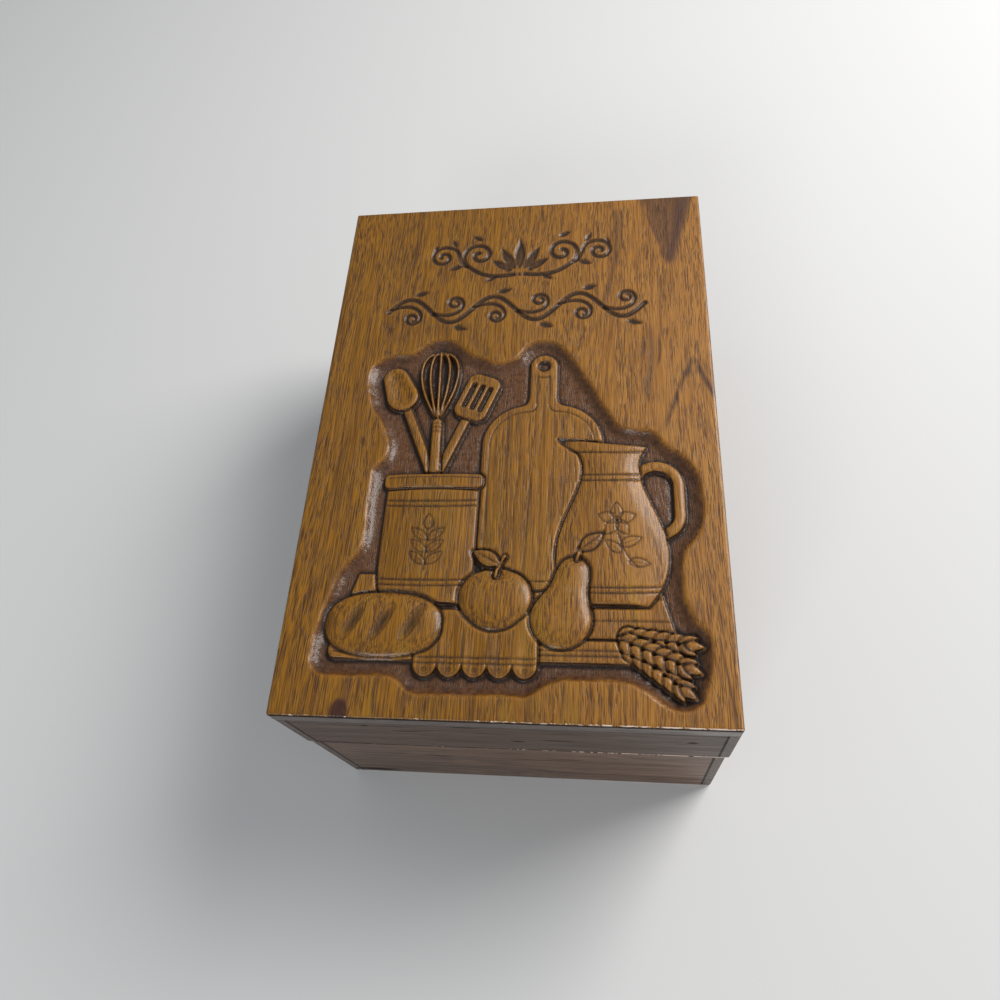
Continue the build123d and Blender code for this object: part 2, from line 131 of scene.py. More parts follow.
class Graph:
    """A material's node graph, with a short call for each kind of node used here."""

    def __init__(self, name):
        self.material = bpy.data.materials.new(name)
        self.material.use_nodes = True
        self.tree = self.material.node_tree
        self.surface = self.tree.nodes["Principled BSDF"]

    def put(self, socket, value):
        if isinstance(value, Field):
            value = value.socket
        if isinstance(value, bpy.types.NodeSocket):
            self.tree.links.new(value, socket)
        else:
            socket.default_value = value

    def set(self, node, **inputs):
        """Link or set inputs by their names, with _ for each space."""
        for key, value in inputs.items():
            self.put(node.inputs[key.replace("_", " ")], value)

    def node(self, kind, settings=(), **inputs):
        node = self.tree.nodes.new(kind)
        for key, value in dict(settings).items():
            setattr(node, key, value)
        self.set(node, **inputs)
        return node

    def mix(self, share, a, b):
        """From colour a to colour b as share goes from 0 to 1. A colour is a socket or 0-255 sRGB."""
        a, b = (linear(*c) if isinstance(c, tuple) else c for c in (a, b))
        return self.node("ShaderNodeMix", {"data_type": "RGBA"}, Factor=share, A=a, B=b).outputs["Result"]

    def place(self, scale=(1, 1, 1), offset=(0, 0, 0), warp=None):
        """The object's own coordinates in millimetres, times scale."""
        where = self.node("ShaderNodeTexCoord").outputs["Object"]
        if warp is not None:
            bent = self.node("ShaderNodeVectorMath", {"operation": "ADD"})
            self.put(bent.inputs[0], where)
            self.put(bent.inputs[1], warp)
            where = bent.outputs[0]
        mapping = self.node("ShaderNodeMapping", Vector=where, Location=offset, Scale=[s / MM for s in scale])
        return mapping.outputs["Vector"]

    def noise(self, where, detail=3.0, roughness=0.55):
        node = self.node("ShaderNodeTexNoise", Vector=where, Scale=1.0, Detail=detail, Roughness=roughness)
        return Field(self, node.outputs["Fac"])

    def bump(self, height, distance):
        """A normal that shows a height as a relief of a distance in metres."""
        return self.node("ShaderNodeBump", Height=height, Distance=distance, Strength=0.6).outputs["Normal"]

    def split(self, vector):
        """A vector's X, Y and Z as fields."""
        parts = self.node("ShaderNodeSeparateXYZ", Vector=vector)
        return [Field(self, parts.outputs[a]) for a in "XYZ"]

    def facing(self):
        """X, Y and Z of the object's own normal."""
        return self.split(self.node("ShaderNodeTexCoord").outputs["Normal"])


# ---- Light and floor, in metres
FLOOR_SIZE = 6.0
FLOOR_COLOUR = (0.80, 0.80, 0.80, 1)
SKY_COLOUR = (0.93, 0.97, 1.0, 1)
SKY_STRENGTH = 0.28
LIGHT_AIM = (0, 0, 0.1)
LIGHTS = (  # name, place, size, watts and colour
    ("key", (0.85, 0.55, 1.0), (0.8, 0.8), 17, (1.0, 0.98, 0.95)),
    ("window", (-0.35, -1.3, 0.95), (0.6, 0.4), 5, (0.94, 0.97, 1.0)),
)


def add_light(name, place, size, watts, colour):
    data = bpy.data.lights.new(name, "AREA")
    data.shape = "RECTANGLE"
    data.size, data.size_y = size
    data.energy = watts
    data.color = colour
    light = add(name, data)
    light.location = place
    light.rotation_euler = (Vector(LIGHT_AIM) - Vector(place)).to_track_quat("-Z", "Y").to_euler()


def add_stage():
    scene = bpy.context.scene
    scene.view_settings.view_transform = "Standard"
    world = bpy.data.worlds.new("studio")
    scene.world = world
    world.use_nodes = True
    background = world.node_tree.nodes["Background"]
    background.inputs["Color"].default_value = SKY_COLOUR
    background.inputs["Strength"].default_value = SKY_STRENGTH
    corners = [(x * FLOOR_SIZE / 2, y * FLOOR_SIZE / 2, 0) for x, y in ((-1, -1), (1, -1), (1, 1), (-1, 1))]
    mesh = bpy.data.meshes.new("floor")
    mesh.from_pydata(corners, [], [(0, 1, 2, 3)])
    floor = add("floor", mesh)
    g = Graph("floor")
    g.set(g.surface, Base_Color=FLOOR_COLOUR, Roughness=0.9)
    mesh.materials.append(g.material)
    for light in LIGHTS:
        add_light(*light)


# ---- Wood
def along(axis, length, width):
    """Noise scale for streaks of a length and a width that run along an axis."""
    return [1 / length if a == axis else 1 / width for a in "xyz"]


class Wood(Graph):
    """Open-grained wood along an axis. fibre and pore are the length and width of those streaks."""

    def __init__(self, name, axis, seed, fibre, pore, contrast):
        super().__init__(name)
        self.axis, self.seed = axis, seed
        self.seed_at = (seed, 2.3 * seed, 3.1 * seed)
        sway = (self.noise(self.place(along(axis, 130, 55), self.seed_at), detail=1.0) - 0.5) * (9 * MM)
        bend = self.node("ShaderNodeCombineXYZ", **{a: sway for a in "XYZ" if a.lower() != axis})
        self.warp = bend.outputs[0]
        self.where = self.split(self.place())
        bands = self.grain(260, 15, detail=2.0)
        self.streaks = self.grain(90, 2.6, roughness=0.6)
        self.fibres = self.grain(*fibre, detail=1.0, roughness=0.6)
        dashes = self.grain(*pore, at=(seed, seed, 5.1), detail=1.0, roughness=0.4)
        clusters = self.grain(60, 7.0, at=(3 * seed, seed, 7.7), detail=2.0)
        self.pores = dashes.ramp(0.48, 0.62) * clusters.ramp(0.18, 0.60)
        tone = self.streaks * 0.55 + bands * 0.45
        self.shade = (tone.ramp(0.34, 0.68) * 0.36 + (self.fibres - 0.43) * contrast).clamped()

    def grain(self, length, width, at=None, **kind):
        """Noise in wavering streaks along the grain."""
        return self.noise(self.place(along(self.axis, length, width), at or self.seed_at, self.warp), **kind)

    def varnished(self, colour, roughness, height, specular, coat):
        """The finished material, rough and raised where its fibres and pores make it so."""
        self.set(
            self.surface,
            # the base colour carries painted glints and painted shade at the front arris and the shut line
            Base_Color=painted_glints_and_shut_shade(self, colour),
            Roughness=self.fibres * 0.14 + roughness,
            Normal=self.bump(self.fibres * 0.3 - self.pores + height, 0.00014),
            Specular_IOR_Level=specular,
            Coat_Weight=specular * coat,
            Coat_Roughness=0.15,
        )
        return self.material


def painted_glints_and_shut_shade(g, colour):
    """Painted glints: spots of pale colour along the lid's front arris and the shut line, more towards +X,
    and painted shade on the shut line's bevels.
    """
    _, facing_y, facing_z = g.facing()
    x, y, z = g.where
    slope = facing_y.ramp(-0.3, -0.45) * abs(facing_z).ramp(0.45, 0.6) * y.ramp(FRONT + 2.5, FRONT + 1.5)
    spots = g.noise(g.place((0.45, 1.0, 1.0)), detail=2.0, roughness=0.7)
    spots = (spots + x.ramp(-30.0, 90.0) * 0.24).ramp(0.58, 0.72)
    shut = abs(z - SHUT_LINE).ramp(1.2, 0.8)
    # painted shade: the bevels at the shut line darkened
    colour = g.mix(slope * shut * 0.85, colour, (30, 18, 14))
    # painted highlight: near-white glints in spots, more towards +X
    return g.mix(slope * spots * 0.95, colour, (255, 228, 208))


# Small knots and dark dashes of the front, the last one a painted shadow at the foot of the base's left
# corner: middle x and z, half length and half height.
FRONT_SPOTS = (
    (-50.4, 104.0, 1.8, 1.5),
    (4.5, 84.8, 3.8, 1.6),
    (68.5, 93.8, 2.6, 2.4),
    (-13.0, 106.0, 7.0, 1.1),
    (-33.0, 47.4, 9.0, 1.0),
    (-36.0, 96.0, 8.0, 0.9),
    (20.0, 88.5, 9.0, 0.8),
    # painted shadow at the foot of the base's left corner
    (-70.0, 5.5, 14.0, 3.8),
)


def front_marks_and_foot_shadow(g):
    """Where the front has its knots and dashes, the joints' lines, a streak low on the base and a painted
    shadow at the base's lower left corner.
    """
    x, y, z = g.where
    streak = abs(z - (x * -0.06 + 19.5)).ramp(1.5, 0.0) * x.ramp(-20.0, 20.0) * 0.7
    joint = abs(x) - (z.ramp(SHUT_LINE - 0.35, SHUT_LINE + 0.25) * 1.5 + 78.0)
    marks_and_foot_shadow = streak.largest(joint.ramp(-0.5, 0.1) * joint.ramp(1.0, 0.5))
    for spot_x, spot_z, half, high in FRONT_SPOTS:
        across, up = (x - spot_x) * (1 / half), (z - spot_z) * (1 / high)
        marks_and_foot_shadow = marks_and_foot_shadow.largest((across * across + up * up).ramp(1.0, 0.1))
    return marks_and_foot_shadow * y.ramp(FRONT + 3.0, FRONT + 1.0) * 0.85


def board_wood(name, axis, seed):
    """Brown boards with grey end grain, with painted shade that makes them darker on the lid and to the left.
    """
    g = Wood(name, axis, seed, fibre=(44, 0.7), pore=(17, 0.40), contrast=2.0)
    x, _, z = g.where
    dark = (56, 40, 31)
    # painted shade: darker above the shut line and towards -X
    painted_shade = (z.ramp(SHUT_LINE - 1.35, SHUT_LINE + 1.65) * 0.6).largest(x.ramp(60.0, -70.0) * 0.3)
    colour = g.mix(g.shade, g.mix(painted_shade, (134, 102, 78), dark), dark)
    colour = g.mix(g.pores * 0.5, colour, (24, 16, 13))
    end = abs(g.facing()["xyz".index(axis)]).ramp(0.75, 0.95)
    speckle = g.noise(g.place([1.4] * 3, g.seed_at), detail=2.0)
    end_grain = g.mix(speckle.ramp(0.35, 0.65), (112, 98, 88), (76, 64, 56))
    colour = g.mix(end * 0.85, colour, end_grain)
    marks_and_foot_shadow = front_marks_and_foot_shadow(g)
    colour = g.mix(marks_and_foot_shadow, colour, (20, 12, 12))
    specular = (1.0 - g.shade * 0.8) * 0.34 * (1.0 - marks_and_foot_shadow)
    return g.varnished(colour, 0.42, 0.0, specular, coat=0.34)


# The top board's figure. Lines: three places each, half width, strength and tint.
PURPLE, UMBER, BROWN, RUST, TAN = (74, 48, 42), (84, 56, 34), (70, 44, 28), (74, 40, 20), (70, 40, 16)
FIGURE_LINES = (
    (((77.5, 124.0), (74.0, 104.0), (68.6, 82.0)), 4.6, 0.72, PURPLE),
    (((57.9, 113.9), (64.0, 95.0), (67.4, 83.2)), 1.6, 0.55, PURPLE),
    (((66.0, 124.0), (67.5, 104.0), (68.5, 88.0)), 0.9, 0.4, PURPLE),
    (((44.6, 114.5), (42.7, 77.5), (39.0, 61.8)), 2.2, 0.6, UMBER),
    (((47.5, 116.0), (47.0, 100.0), (45.0, 80.0)), 1.2, 0.45, UMBER),
    (((58.6, 46.0), (58.8, 28.0), (56.2, 11.5)), 3.2, 0.6, (96, 66, 46)),
    (((62.4, 39.5), (62.6, 33.0), (61.6, 26.0)), 1.0, 0.85, RUST),
    (((55.7, 40.8), (56.0, 36.0), (55.2, 31.0)), 1.0, 0.75, RUST),
    (((-52.4, -96.8), (-54.8, -109.8), (-55.6, -119.0)), 1.8, 0.65, (80, 52, 36)),
    (((-41.2, -98.3), (-43.8, -106.6), (-43.9, -122.0)), 1.5, 0.75, BROWN),
    (((-30.9, -104.5), (-32.7, -109.8), (-33.8, -122.0)), 1.5, 0.7, BROWN),
    (((64.0, -88.0), (66.0, -106.0), (67.9, -122.0)), 2.6, 0.6, (108, 68, 40)),
    (((77.4, -92.0), (79.2, -105.0), (81.2, -123.0)), 1.1, 0.75, (84, 50, 26)),
    (((48.0, -99.0), (49.4, -105.0), (50.8, -111.0)), 1.3, 0.75, TAN),
    (((40.9, -107.0), (40.7, -112.0), (40.6, -118.0)), 1.2, 0.75, TAN),
    (((-8.0, -104.0), (-7.6, -113.0), (-8.0, -123.0)), 1.2, 0.6, TAN),
    (((12.0, -103.0), (12.6, -112.0), (12.0, -123.0)), 2.6, 0.5, (96, 58, 20)),
)
# Arches of the growth rings: top's x and y, spread, half width, length and strength.
FIGURE_ARCHES = (
    (77.2, 29.6, -0.40, 2.2, 44.0, 0.95),
    (77.0, 37.0, -0.42, 2.4, 30.0, 0.3),
    (76.0, 10.0, -0.34, 1.2, 60.0, 0.35),
    (74.0, -66.0, -0.26, 1.3, 44.0, 0.5),
    (72.0, -84.0, -0.20, 1.0, 36.0, 0.5),
)
HEART = (68.6, 82.0, 0.31)  # the dark wedge's point and its spread
KNOT = (-57.0, -121.07)


def board_figure(g, colour, where):
    """The board's own figure: a dark heartwood wedge, lines, arches and a small knot."""
    x, y, _ = where
    ragged = (g.streaks + g.fibres - 1.0) * 11.0

    def wedge(apex_x, apex_y, spread):
        """How far outside a wedge that opens towards +Y (or -Y, with a spread below 0)."""
        return abs(x - apex_x) - (y - apex_y) * spread

    heart = (wedge(*HEART) + ragged * 0.8).ramp(1.2, -1.2) * y.ramp(HEART[1] - 6.0, HEART[1] + 4.0)
    tint = g.mix(g.streaks.ramp(0.35, 0.65), (110, 72, 38), (78, 48, 30))
    colour = g.mix(heart * 0.85, colour, tint)
    for points, width, strength, tint in FIGURE_LINES:
        line_x, line_y = zip(*points)
        a, b, c = (float(v) for v in np.polyfit(line_y, line_x, 2))
        line = abs(x - ((y * a + b) * y + c) - ragged * 0.12).ramp(width, 0.0)
        top, foot = max(line_y), min(line_y)
        line = line * y.ramp(top + 3.0, top - 3.0) * y.ramp(foot - 3.0, foot + 3.0)
        colour = g.mix(line * strength, colour, tint)
    for apex_x, apex_y, spread, width, length, strength in FIGURE_ARCHES:
        arch = abs(wedge(apex_x, apex_y, spread) + ragged * 0.28).ramp(width, 0.0)
        arch = arch * y.ramp(apex_y + 1.0, apex_y - 3.0) * y.ramp(apex_y - length, apex_y - 0.5 * length)
        colour = g.mix(arch * g.fibres.ramp(0.18, 0.50) * strength, colour, (72, 40, 24))
    knot_x, knot_y = g.where[0] - KNOT[0], (g.where[1] - KNOT[1]) * 0.75
    away = (knot_x * knot_x + knot_y * knot_y).math("SQRT") + ragged * 0.18
    return g.mix(away.ramp(4.2, 2.4) * 0.9, colour, (52, 16, 22))


def board_sides(g, colour):
    """Dark edges with end grain at the board's two ends, and matt and darkest under the arris."""
    _, facing_y, facing_z = g.facing()
    side = abs(facing_z).ramp(0.75, 0.35)
    end = abs(facing_y).ramp(0.5, 0.9)
    streaks = g.noise(g.place((1.2, 0.03, 1.2), g.seed_at))
    long_side = g.mix(streaks, (98, 68, 44), (46, 32, 24))
    speckle = g.noise(g.place((0.16, 1.5, 1.9), g.seed_at))
    end_grain = g.mix(speckle.ramp(0.35, 0.65), (104, 84, 70), (56, 44, 38))
    arris = (g.where[2] + (speckle - 0.5) * 3.0).ramp(LID_TOP - 3.0, LID_TOP - 1.4)
    edge = g.mix(arris * 0.85, g.mix(end, long_side, end_grain), (30, 16, 12))
    return g.mix(side, colour, edge), 0.35 - side * arris * 0.33


def carved_wood():
    """The golden top board, tanner towards +X partly by painted light, its carved ground stained and
    stippled, its lines filled dark with painted shade in hollows and round the motifs, and its ridges paler,
    partly worn and partly a painted highlight.
    """
    g = Wood("wood_top", "y", 2.0, fibre=(26, 0.52), pore=(6.5, 0.40), contrast=2.7)
    bent = g.split(g.place(warp=g.warp))
    # lighter and tanner towards +X: partly the board's own tone, partly painted light
    tan_and_painted_light = (bent[1] * 0.08 + bent[0]).ramp(-30.0, 95.0)
    light = g.mix(tan_and_painted_light, (158, 106, 16), (180, 124, 52))
    dark = g.mix(tan_and_painted_light, (90, 54, 8), (130, 80, 30))
    colour = g.mix(g.shade, light, dark)
    golden = g.grain(70, 9, at=(4.4, g.seed, 1.3), detail=2.0).ramp(0.52, 0.7) * bent[1].ramp(10.0, -110.0)
    colour = g.mix(golden * 0.5, colour, (158, 118, 26))
    colour = board_figure(g, colour, bent)
    colour = g.mix(g.pores * 0.62, colour, (56, 30, 10))
    masks = g.node("ShaderNodeVertexColor", {"layer_name": "carving"})
    parts = g.node("ShaderNodeSeparateColor", Color=masks.outputs["Color"])
    ground, lines, wear_and_highlight = (Field(g, parts.outputs[c]) for c in ("Red", "Green", "Blue"))
    blotch = g.noise(g.place([0.5] * 3))
    stain = g.mix(blotch.ramp(0.35, 0.7), (98, 64, 44), (60, 35, 26))
    colour = g.mix(ground.ramp(0.0, 0.5) * 0.45, colour, (128, 80, 18))
    colour = g.mix(ground.ramp(0.3, 1.0) * 0.8, colour, stain)
    # dark lines: stain in the cuts, and painted shade at the motifs' feet, along strokes and in hollows
    colour = g.mix(lines * 0.92, colour, (30, 15, 10))
    # ridges paler: partly worn, partly a painted highlight
    colour = g.mix(wear_and_highlight * 0.2, colour, (172, 116, 48))
    colour, specular = board_sides(g, colour)
    tooled = g.noise(g.place([0.8] * 3), detail=2.0, roughness=0.6) * ground
    g.set(g.surface, Coat_Normal=g.bump(tooled, 0.0003))
    return g.varnished(colour, lines * 0.25 - ground * 0.1 + 0.36, tooled * 2.0, specular, coat=1.0)


# ---- Metal
def brass():
    g = Graph("brass")
    spots = g.noise(g.place([0.25] * 3), detail=4.0)
    colour = g.mix(spots.ramp(0.4, 0.7), (158, 126, 68), (92, 68, 36))
    g.set(g.surface, Base_Color=colour, Roughness=spots * 0.25 + 0.34, Metallic=1.0)
    return g.material


def steel():
    g = Graph("steel")
    colour = g.mix(g.noise(g.place([0.6] * 3)), (120, 118, 114), (80, 72, 66))
    g.set(g.surface, Base_Color=colour, Roughness=0.5, Metallic=1.0)
    return g.material


# ---- Carving: a height for every point of a grid over the lid's top
ROOT = 16  # finest cells along a coarsest cell
COLUMNS, ROWS = 30 * ROOT, 44 * ROOT
xs = np.linspace(-LID_WIDTH / 2, LID_WIDTH / 2, COLUMNS + 1)
ys = np.linspace(-LID_LENGTH / 2, LID_LENGTH / 2, ROWS + 1)
X, Y = np.meshgrid(xs, ys)
STEP = xs[1] - xs[0]
DEPTH = 3.2  # of the sunk ground
HALO = 6.5  # about as far as the ground reaches beyond the motifs
FILL = 9.0  # the ground's inner corners are filled to this radius
FAR = 1e3


def unit(value):
    """Held between 0 and 1."""
    return np.clip(value, 0, 1)


def smooth(value, low, high):
    """0 at low, 1 at high, smooth between."""
    t = unit((value - low) / (high - low))
    return t * t * (3 - 2 * t)


def bell(value):
    """1 at 0, falling to 0 on both sides."""
    return np.exp(-(value**2))


def scatter(i, j, along_i, along_j, stretch, seed=0.0):
    """A number from 0 to 1 for each pair of whole numbers, with no pattern to be seen."""
    return np.modf(np.abs(np.sin(i * along_i + j * along_j + seed) * stretch))[0]


def value_noise(x, y, seed):
    """Smooth noise from 0 to 1, one cell to a unit."""
    x0, y0 = np.floor(x), np.floor(y)
    fx, fy = smooth(x - x0, 0, 1), smooth(y - y0, 0, 1)

    def corner(i, j):
        return scatter(x0 + i, y0 + j, 127.1, 311.7, 43758.5453, seed * 74.7)

    low = corner(0, 0) * (1 - fx) + corner(1, 0) * fx
    high = corner(0, 1) * (1 - fx) + corner(1, 1) * fx
    return low * (1 - fy) + high * fy


# Distances of the grid to a form, below 0 inside it.
def circle(x, y, r):
    return np.hypot(X - x, Y - y) - r


def local(x, y, lean=0.0, up=0.0):
    """Grid coordinates u, v from a place moved up v, with +v leaning to the left by lean degrees."""
    c, s = math.cos(math.radians(lean)), math.sin(math.radians(lean))
    dx, dy = X - x, Y - y
    return c * dx + s * dy, -s * dx + c * dy - up


def rounded_box(u, v, half_u, half_v, r):
    qu, qv = np.abs(u) - half_u + r, np.abs(v) - half_v + r
    return np.hypot(np.maximum(qu, 0), np.maximum(qv, 0)) + np.minimum(np.maximum(qu, qv), 0) - r


def tapered(u, v, length, r0, r1):
    """A hull of two circles on the v axis, at 0 and at length."""
    slope = (r0 - r1) / length
    cosine = math.sqrt(1 - slope * slope)
    u = np.abs(u)
    k = -slope * u + cosine * v
    beyond = np.where(k > cosine * length, np.hypot(u, v - length) - r1, u * cosine + v * slope - r0)
    return np.where(k < 0, np.hypot(u, v) - r0, beyond)


def union(a, b, fill):
    """Two forms as one, with the corners between them filled."""
    blend = unit(0.5 + 0.5 * (a - b) / fill)
    return a * (1 - blend) + b * blend - fill * blend * (1 - blend)


def from_segment(px, py, a, b):
    """Distance of some places to the line from a to b."""
    wx, wy = px - a[0], py - a[1]
    ex, ey = b[0] - a[0], b[1] - a[1]
    t = unit((wx * ex + wy * ey) / max(ex * ex + ey * ey, 1e-9))
    return np.hypot(wx - ex * t, wy - ey * t)


def outline_distance(points, px, py):
    """Signed distance of some places to a closed outline."""
    best = np.full(px.shape, FAR)
    sign = np.ones(px.shape)
    for a, b in zip(points, np.roll(points, -1, axis=0)):
        best = np.minimum(best, from_segment(px, py, a, b))
        between = (a[1] > py) != (b[1] > py)
        to_left = px < (b[0] - a[0]) * (py - a[1]) / ((b[1] - a[1]) or 1e-9) + a[0]
        sign = np.where(between & to_left, -sign, sign)
    return best * sign


def window(points, reach):
    """The part of the grid that lies within reach of some points."""
    low, high = np.min(points, axis=0) - reach, np.max(points, axis=0) + reach
    i0, i1 = np.searchsorted(xs, (low[0], high[0]))
    j0, j1 = np.searchsorted(ys, (low[1], high[1]))
    return slice(j0, j1), slice(i0, i1)


def polygon(points):
    """Signed distance of the grid to a closed outline, worked out near it only."""
    points = np.asarray(points, float)
    part = window(points, HALO + 5.0)
    field = np.full(X.shape, FAR)
    field[part] = outline_distance(points, X[part], Y[part])
    return field


def near(points, reach):
    """Distance from each grid point to a polyline, within reach of it."""
    field = np.full(X.shape, FAR)
    for a, b in zip(points[:-1], points[1:]):
        part = window((a, b), reach)
        field[part] = np.minimum(field[part], from_segment(X[part], Y[part], a, b))
    return field


def pillow(distance, edge, top, width):
    """A height that rises from edge to top over a width in from an outline, like a cushion."""
    t = unit(-distance / width)
    return edge + (top - edge) * np.sqrt(unit(1 - (1 - t) ** 2))


class Relief:
    """The carved surface: heights, the outline of all motifs, and the stain of lines and ground, with painted
    shade round the motifs' feet and along strokes.
    """

    def __init__(self):
        self.height = np.full(X.shape, -DEPTH)
        self.outline = np.full(X.shape, FAR)
        self.lines = np.zeros(X.shape)
        self.ground = np.zeros(X.shape)

    def darken(self, stain):
        self.lines = np.maximum(self.lines, stain)

    def cut(self, hollow, stain):
        """Take a hollow's depth away and stain it."""
        self.height = self.height - hollow
        self.darken(stain)

    def set_in(self, distance, height, groove=1.5, cut=1.3):
        """Put a motif in front of what is there, with a groove round it."""
        edge = self.height - cut * (1 - smooth(distance, 0.2, groove))
        beside = np.maximum(edge, -DEPTH - 0.3)
        outside = np.where(distance < groove, np.minimum(self.height, beside), self.height)
        share = unit(0.5 - distance / STEP)
        self.height = height * share + outside * (1 - share)
        self.lines = np.where(distance < 0, 0, self.lines)
        # painted shade: a dark line round the motif's foot
        self.darken(0.75 * bell((distance - 0.25) / 0.18**0.5))
        self.outline = union(self.outline, distance, 3.0)

    def cushion(self, distance, edge, top, width, crown=0.0, **groove):
        """Set in a motif whose rim is rounded like a cushion's, under a crown or a top of its own."""
        self.set_in(distance, np.minimum(crown, pillow(distance, edge, top, width)), **groove)

    def engrave(self, points, width, depth, dark=0.9, where=1.0):
        """A V-shaped line along a path."""
        d = near(points, width)
        stain = dark * where * unit(1 - d / (width * 0.62)) ** 0.7
        self.cut(depth * where * unit(1 - d / (width / 2)), stain)

    def wire(self, points, radius, top):
        """A rounded ridge along a path."""
        d = near(points, radius + HALO + 5.0)
        ridge = top - radius + np.sqrt(np.clip(radius**2 - d**2, 0, None))
        self.set_in(d - radius, ridge, groove=0.9, cut=0.8)


# Paths and outlines as rows of (x, y).
def pairs(x, y):
    return np.stack([x, y], axis=1)


def arc(x, y, r, start=0, stop=360, count=24):
    angles = np.radians(np.linspace(start, stop, count))
    return pairs(x + r * np.cos(angles), y + r * np.sin(angles))


def bezier(a, b, c, d, count):
    t = np.linspace(0, 1, count)[:, None]
    a, b, c, d = (np.asarray(p, float) for p in (a, b, c, d))
    return (1 - t) ** 3 * a + 3 * (1 - t) ** 2 * t * b + 3 * (1 - t) * t**2 * c + t**3 * d


def turned(points, x, y, lean):
    """Points drawn upright from 0, leant and moved to a place."""
    c, s = math.cos(math.radians(lean)), math.sin(math.radians(lean))
    u, v = np.asarray(points, float).T
    return pairs(x + c * u - s * v, y + s * u + c * v)


def leaf(x, y, lean, length, width):
    """The outline of a pointed leaf that grows from a place."""
    t = np.linspace(0, 1, 14)
    half = width / 2 * np.sin(np.pi * t**0.85) ** 0.9
    right = pairs(half, t * length)
    return turned(np.concatenate([right, right[-2:0:-1] * (-1, 1)]), x, y, lean)


def engrave_leaf(relief, x, y, lean, length, width, vein=()):
    """A leaf's outline as a line, with a finer line along its middle between two heights."""
    outline = leaf(x, y, lean, length, width)
    relief.engrave([*outline, outline[0]], 0.7, 0.4)
    if vein:
        relief.engrave(turned([(0, lift) for lift in vein], x, y, lean), 0.5, 0.25, 0.6)


def hoop(relief, x, y, half, shoulder, sag):
    """A line round a turned body, which sags towards the viewer."""
    path = bezier((x - half, y), (x - shoulder, y - sag), (x + shoulder, y - sag), (x + half, y), 16)
    relief.engrave(path, 0.9, 0.5)


# Motifs: the same places and sizes as the solid's, from the lid's middle.
TABLE_HALF, TABLE_BACK_HALF, TABLE_BACK, TABLE_FRONT, TABLE_EDGE = 64.0, 57.0, -68.0, -93.0, 8.5
CLOTH_X, CLOTH_WIDTH, CLOTH_TOP, CLOTH_HEM, SCALLOPS = -9.0, 46.0, -82.0, -103.0, 5
SCALLOP_R = CLOTH_WIDTH / SCALLOPS / 2
BOARD_X, BOARD_WIDTH, BOARD_FOOT, BOARD_SHOULDER, GRIP_WIDTH, GRIP_TOP = 13.0, 50.0, -74.0, 8.0, 12.0, 34.0
CROCK_WIDTH, CROCK_FOOT_WIDTH, CROCK_FOOT, CROCK_RIM = 38.0, 31.0, -80.0, 6.5
MOUTH = CROCK_X, CROCK_MOUTH = (-31.0, -28.0)  # the middle of its rim
SPOON_LEAN, SPOON_HANDLE, SPOON_BOWL, BOWL_LENGTH, BOWL_R, BOWL_TIP_R = 23.0, 40.0, 45.2, 10.2, 7.25, 5.8
TURNER_LEAN, TURNER_HANDLE, BLADE_HALF, BLADE_LENGTH, BLADE_LAP = -21.0, 34.0, 7.5, 23.0, 2.1
WHISK_LEAN, WHISK_HANDLE, WHISK_TOP, WHISK_HALF = 2.0, 30.0, 64.0, 8.5
HANDLE_HALF = 2.1
JUG_X, JUG_FOOT, JUG_LIP = 41.0, -80.0, -13.0
JUG_HEIGHTS = (JUG_FOOT, -70.0, -57.0, -42.0, -27.0, -19.0, JUG_LIP)
JUG_HALVES = (13.0, 19.6, 21.0, 17.2, 11.2, 11.8, 14.5)
JUG_EAR = (58.5, -37.0)
LOAF_X, LOAF_Y, LOAF_LENGTH, LOAF_WIDTH = -45.0, -88.0, 45.0, 25.0
APPLE_X, APPLE_Y, APPLE_R = -3.0, -77.0, 13.0
PEAR_X, PEAR_Y, PEAR_R, PEAR_TOP_X, PEAR_TOP_Y, PEAR_TOP_R = 22.0, -85.0, 11.5, 26.5, -67.0, 6.2
WHEAT_X = 54.0
WHEAT_EARS = [(4.5 * step - 97.0, 15.0 * step + 248.0) for step in (1, -1, 0)]  # y and lean


def carve_table(relief):
    corners = [(-TABLE_HALF, TABLE_FRONT), (TABLE_HALF, TABLE_FRONT)]
    corners += [(TABLE_BACK_HALF, TABLE_BACK), (-TABLE_BACK_HALF, TABLE_BACK)]
    relief.set_in(polygon(corners), -2.1 + 0.012 * (TABLE_BACK - Y))
    for share in (0.36, 0.7):
        y = TABLE_BACK + share * (TABLE_FRONT - TABLE_BACK)
        half = TABLE_BACK_HALF + share * (TABLE_HALF - TABLE_BACK_HALF) - 0.5
        relief.engrave([(-half, y), (half, y)], 0.8, 0.4)
    middle = TABLE_FRONT - TABLE_EDGE / 2
    edge = rounded_box(*local(0, middle), TABLE_HALF + 1, TABLE_EDGE / 2, 2.8)
    relief.cushion(edge, -2.0, -1.0, 1.6)
    for y in (middle - 1.6, middle + 0.4):
        relief.engrave([(-TABLE_HALF + 1, y), (TABLE_HALF - 1, y)], 0.8, 0.45)


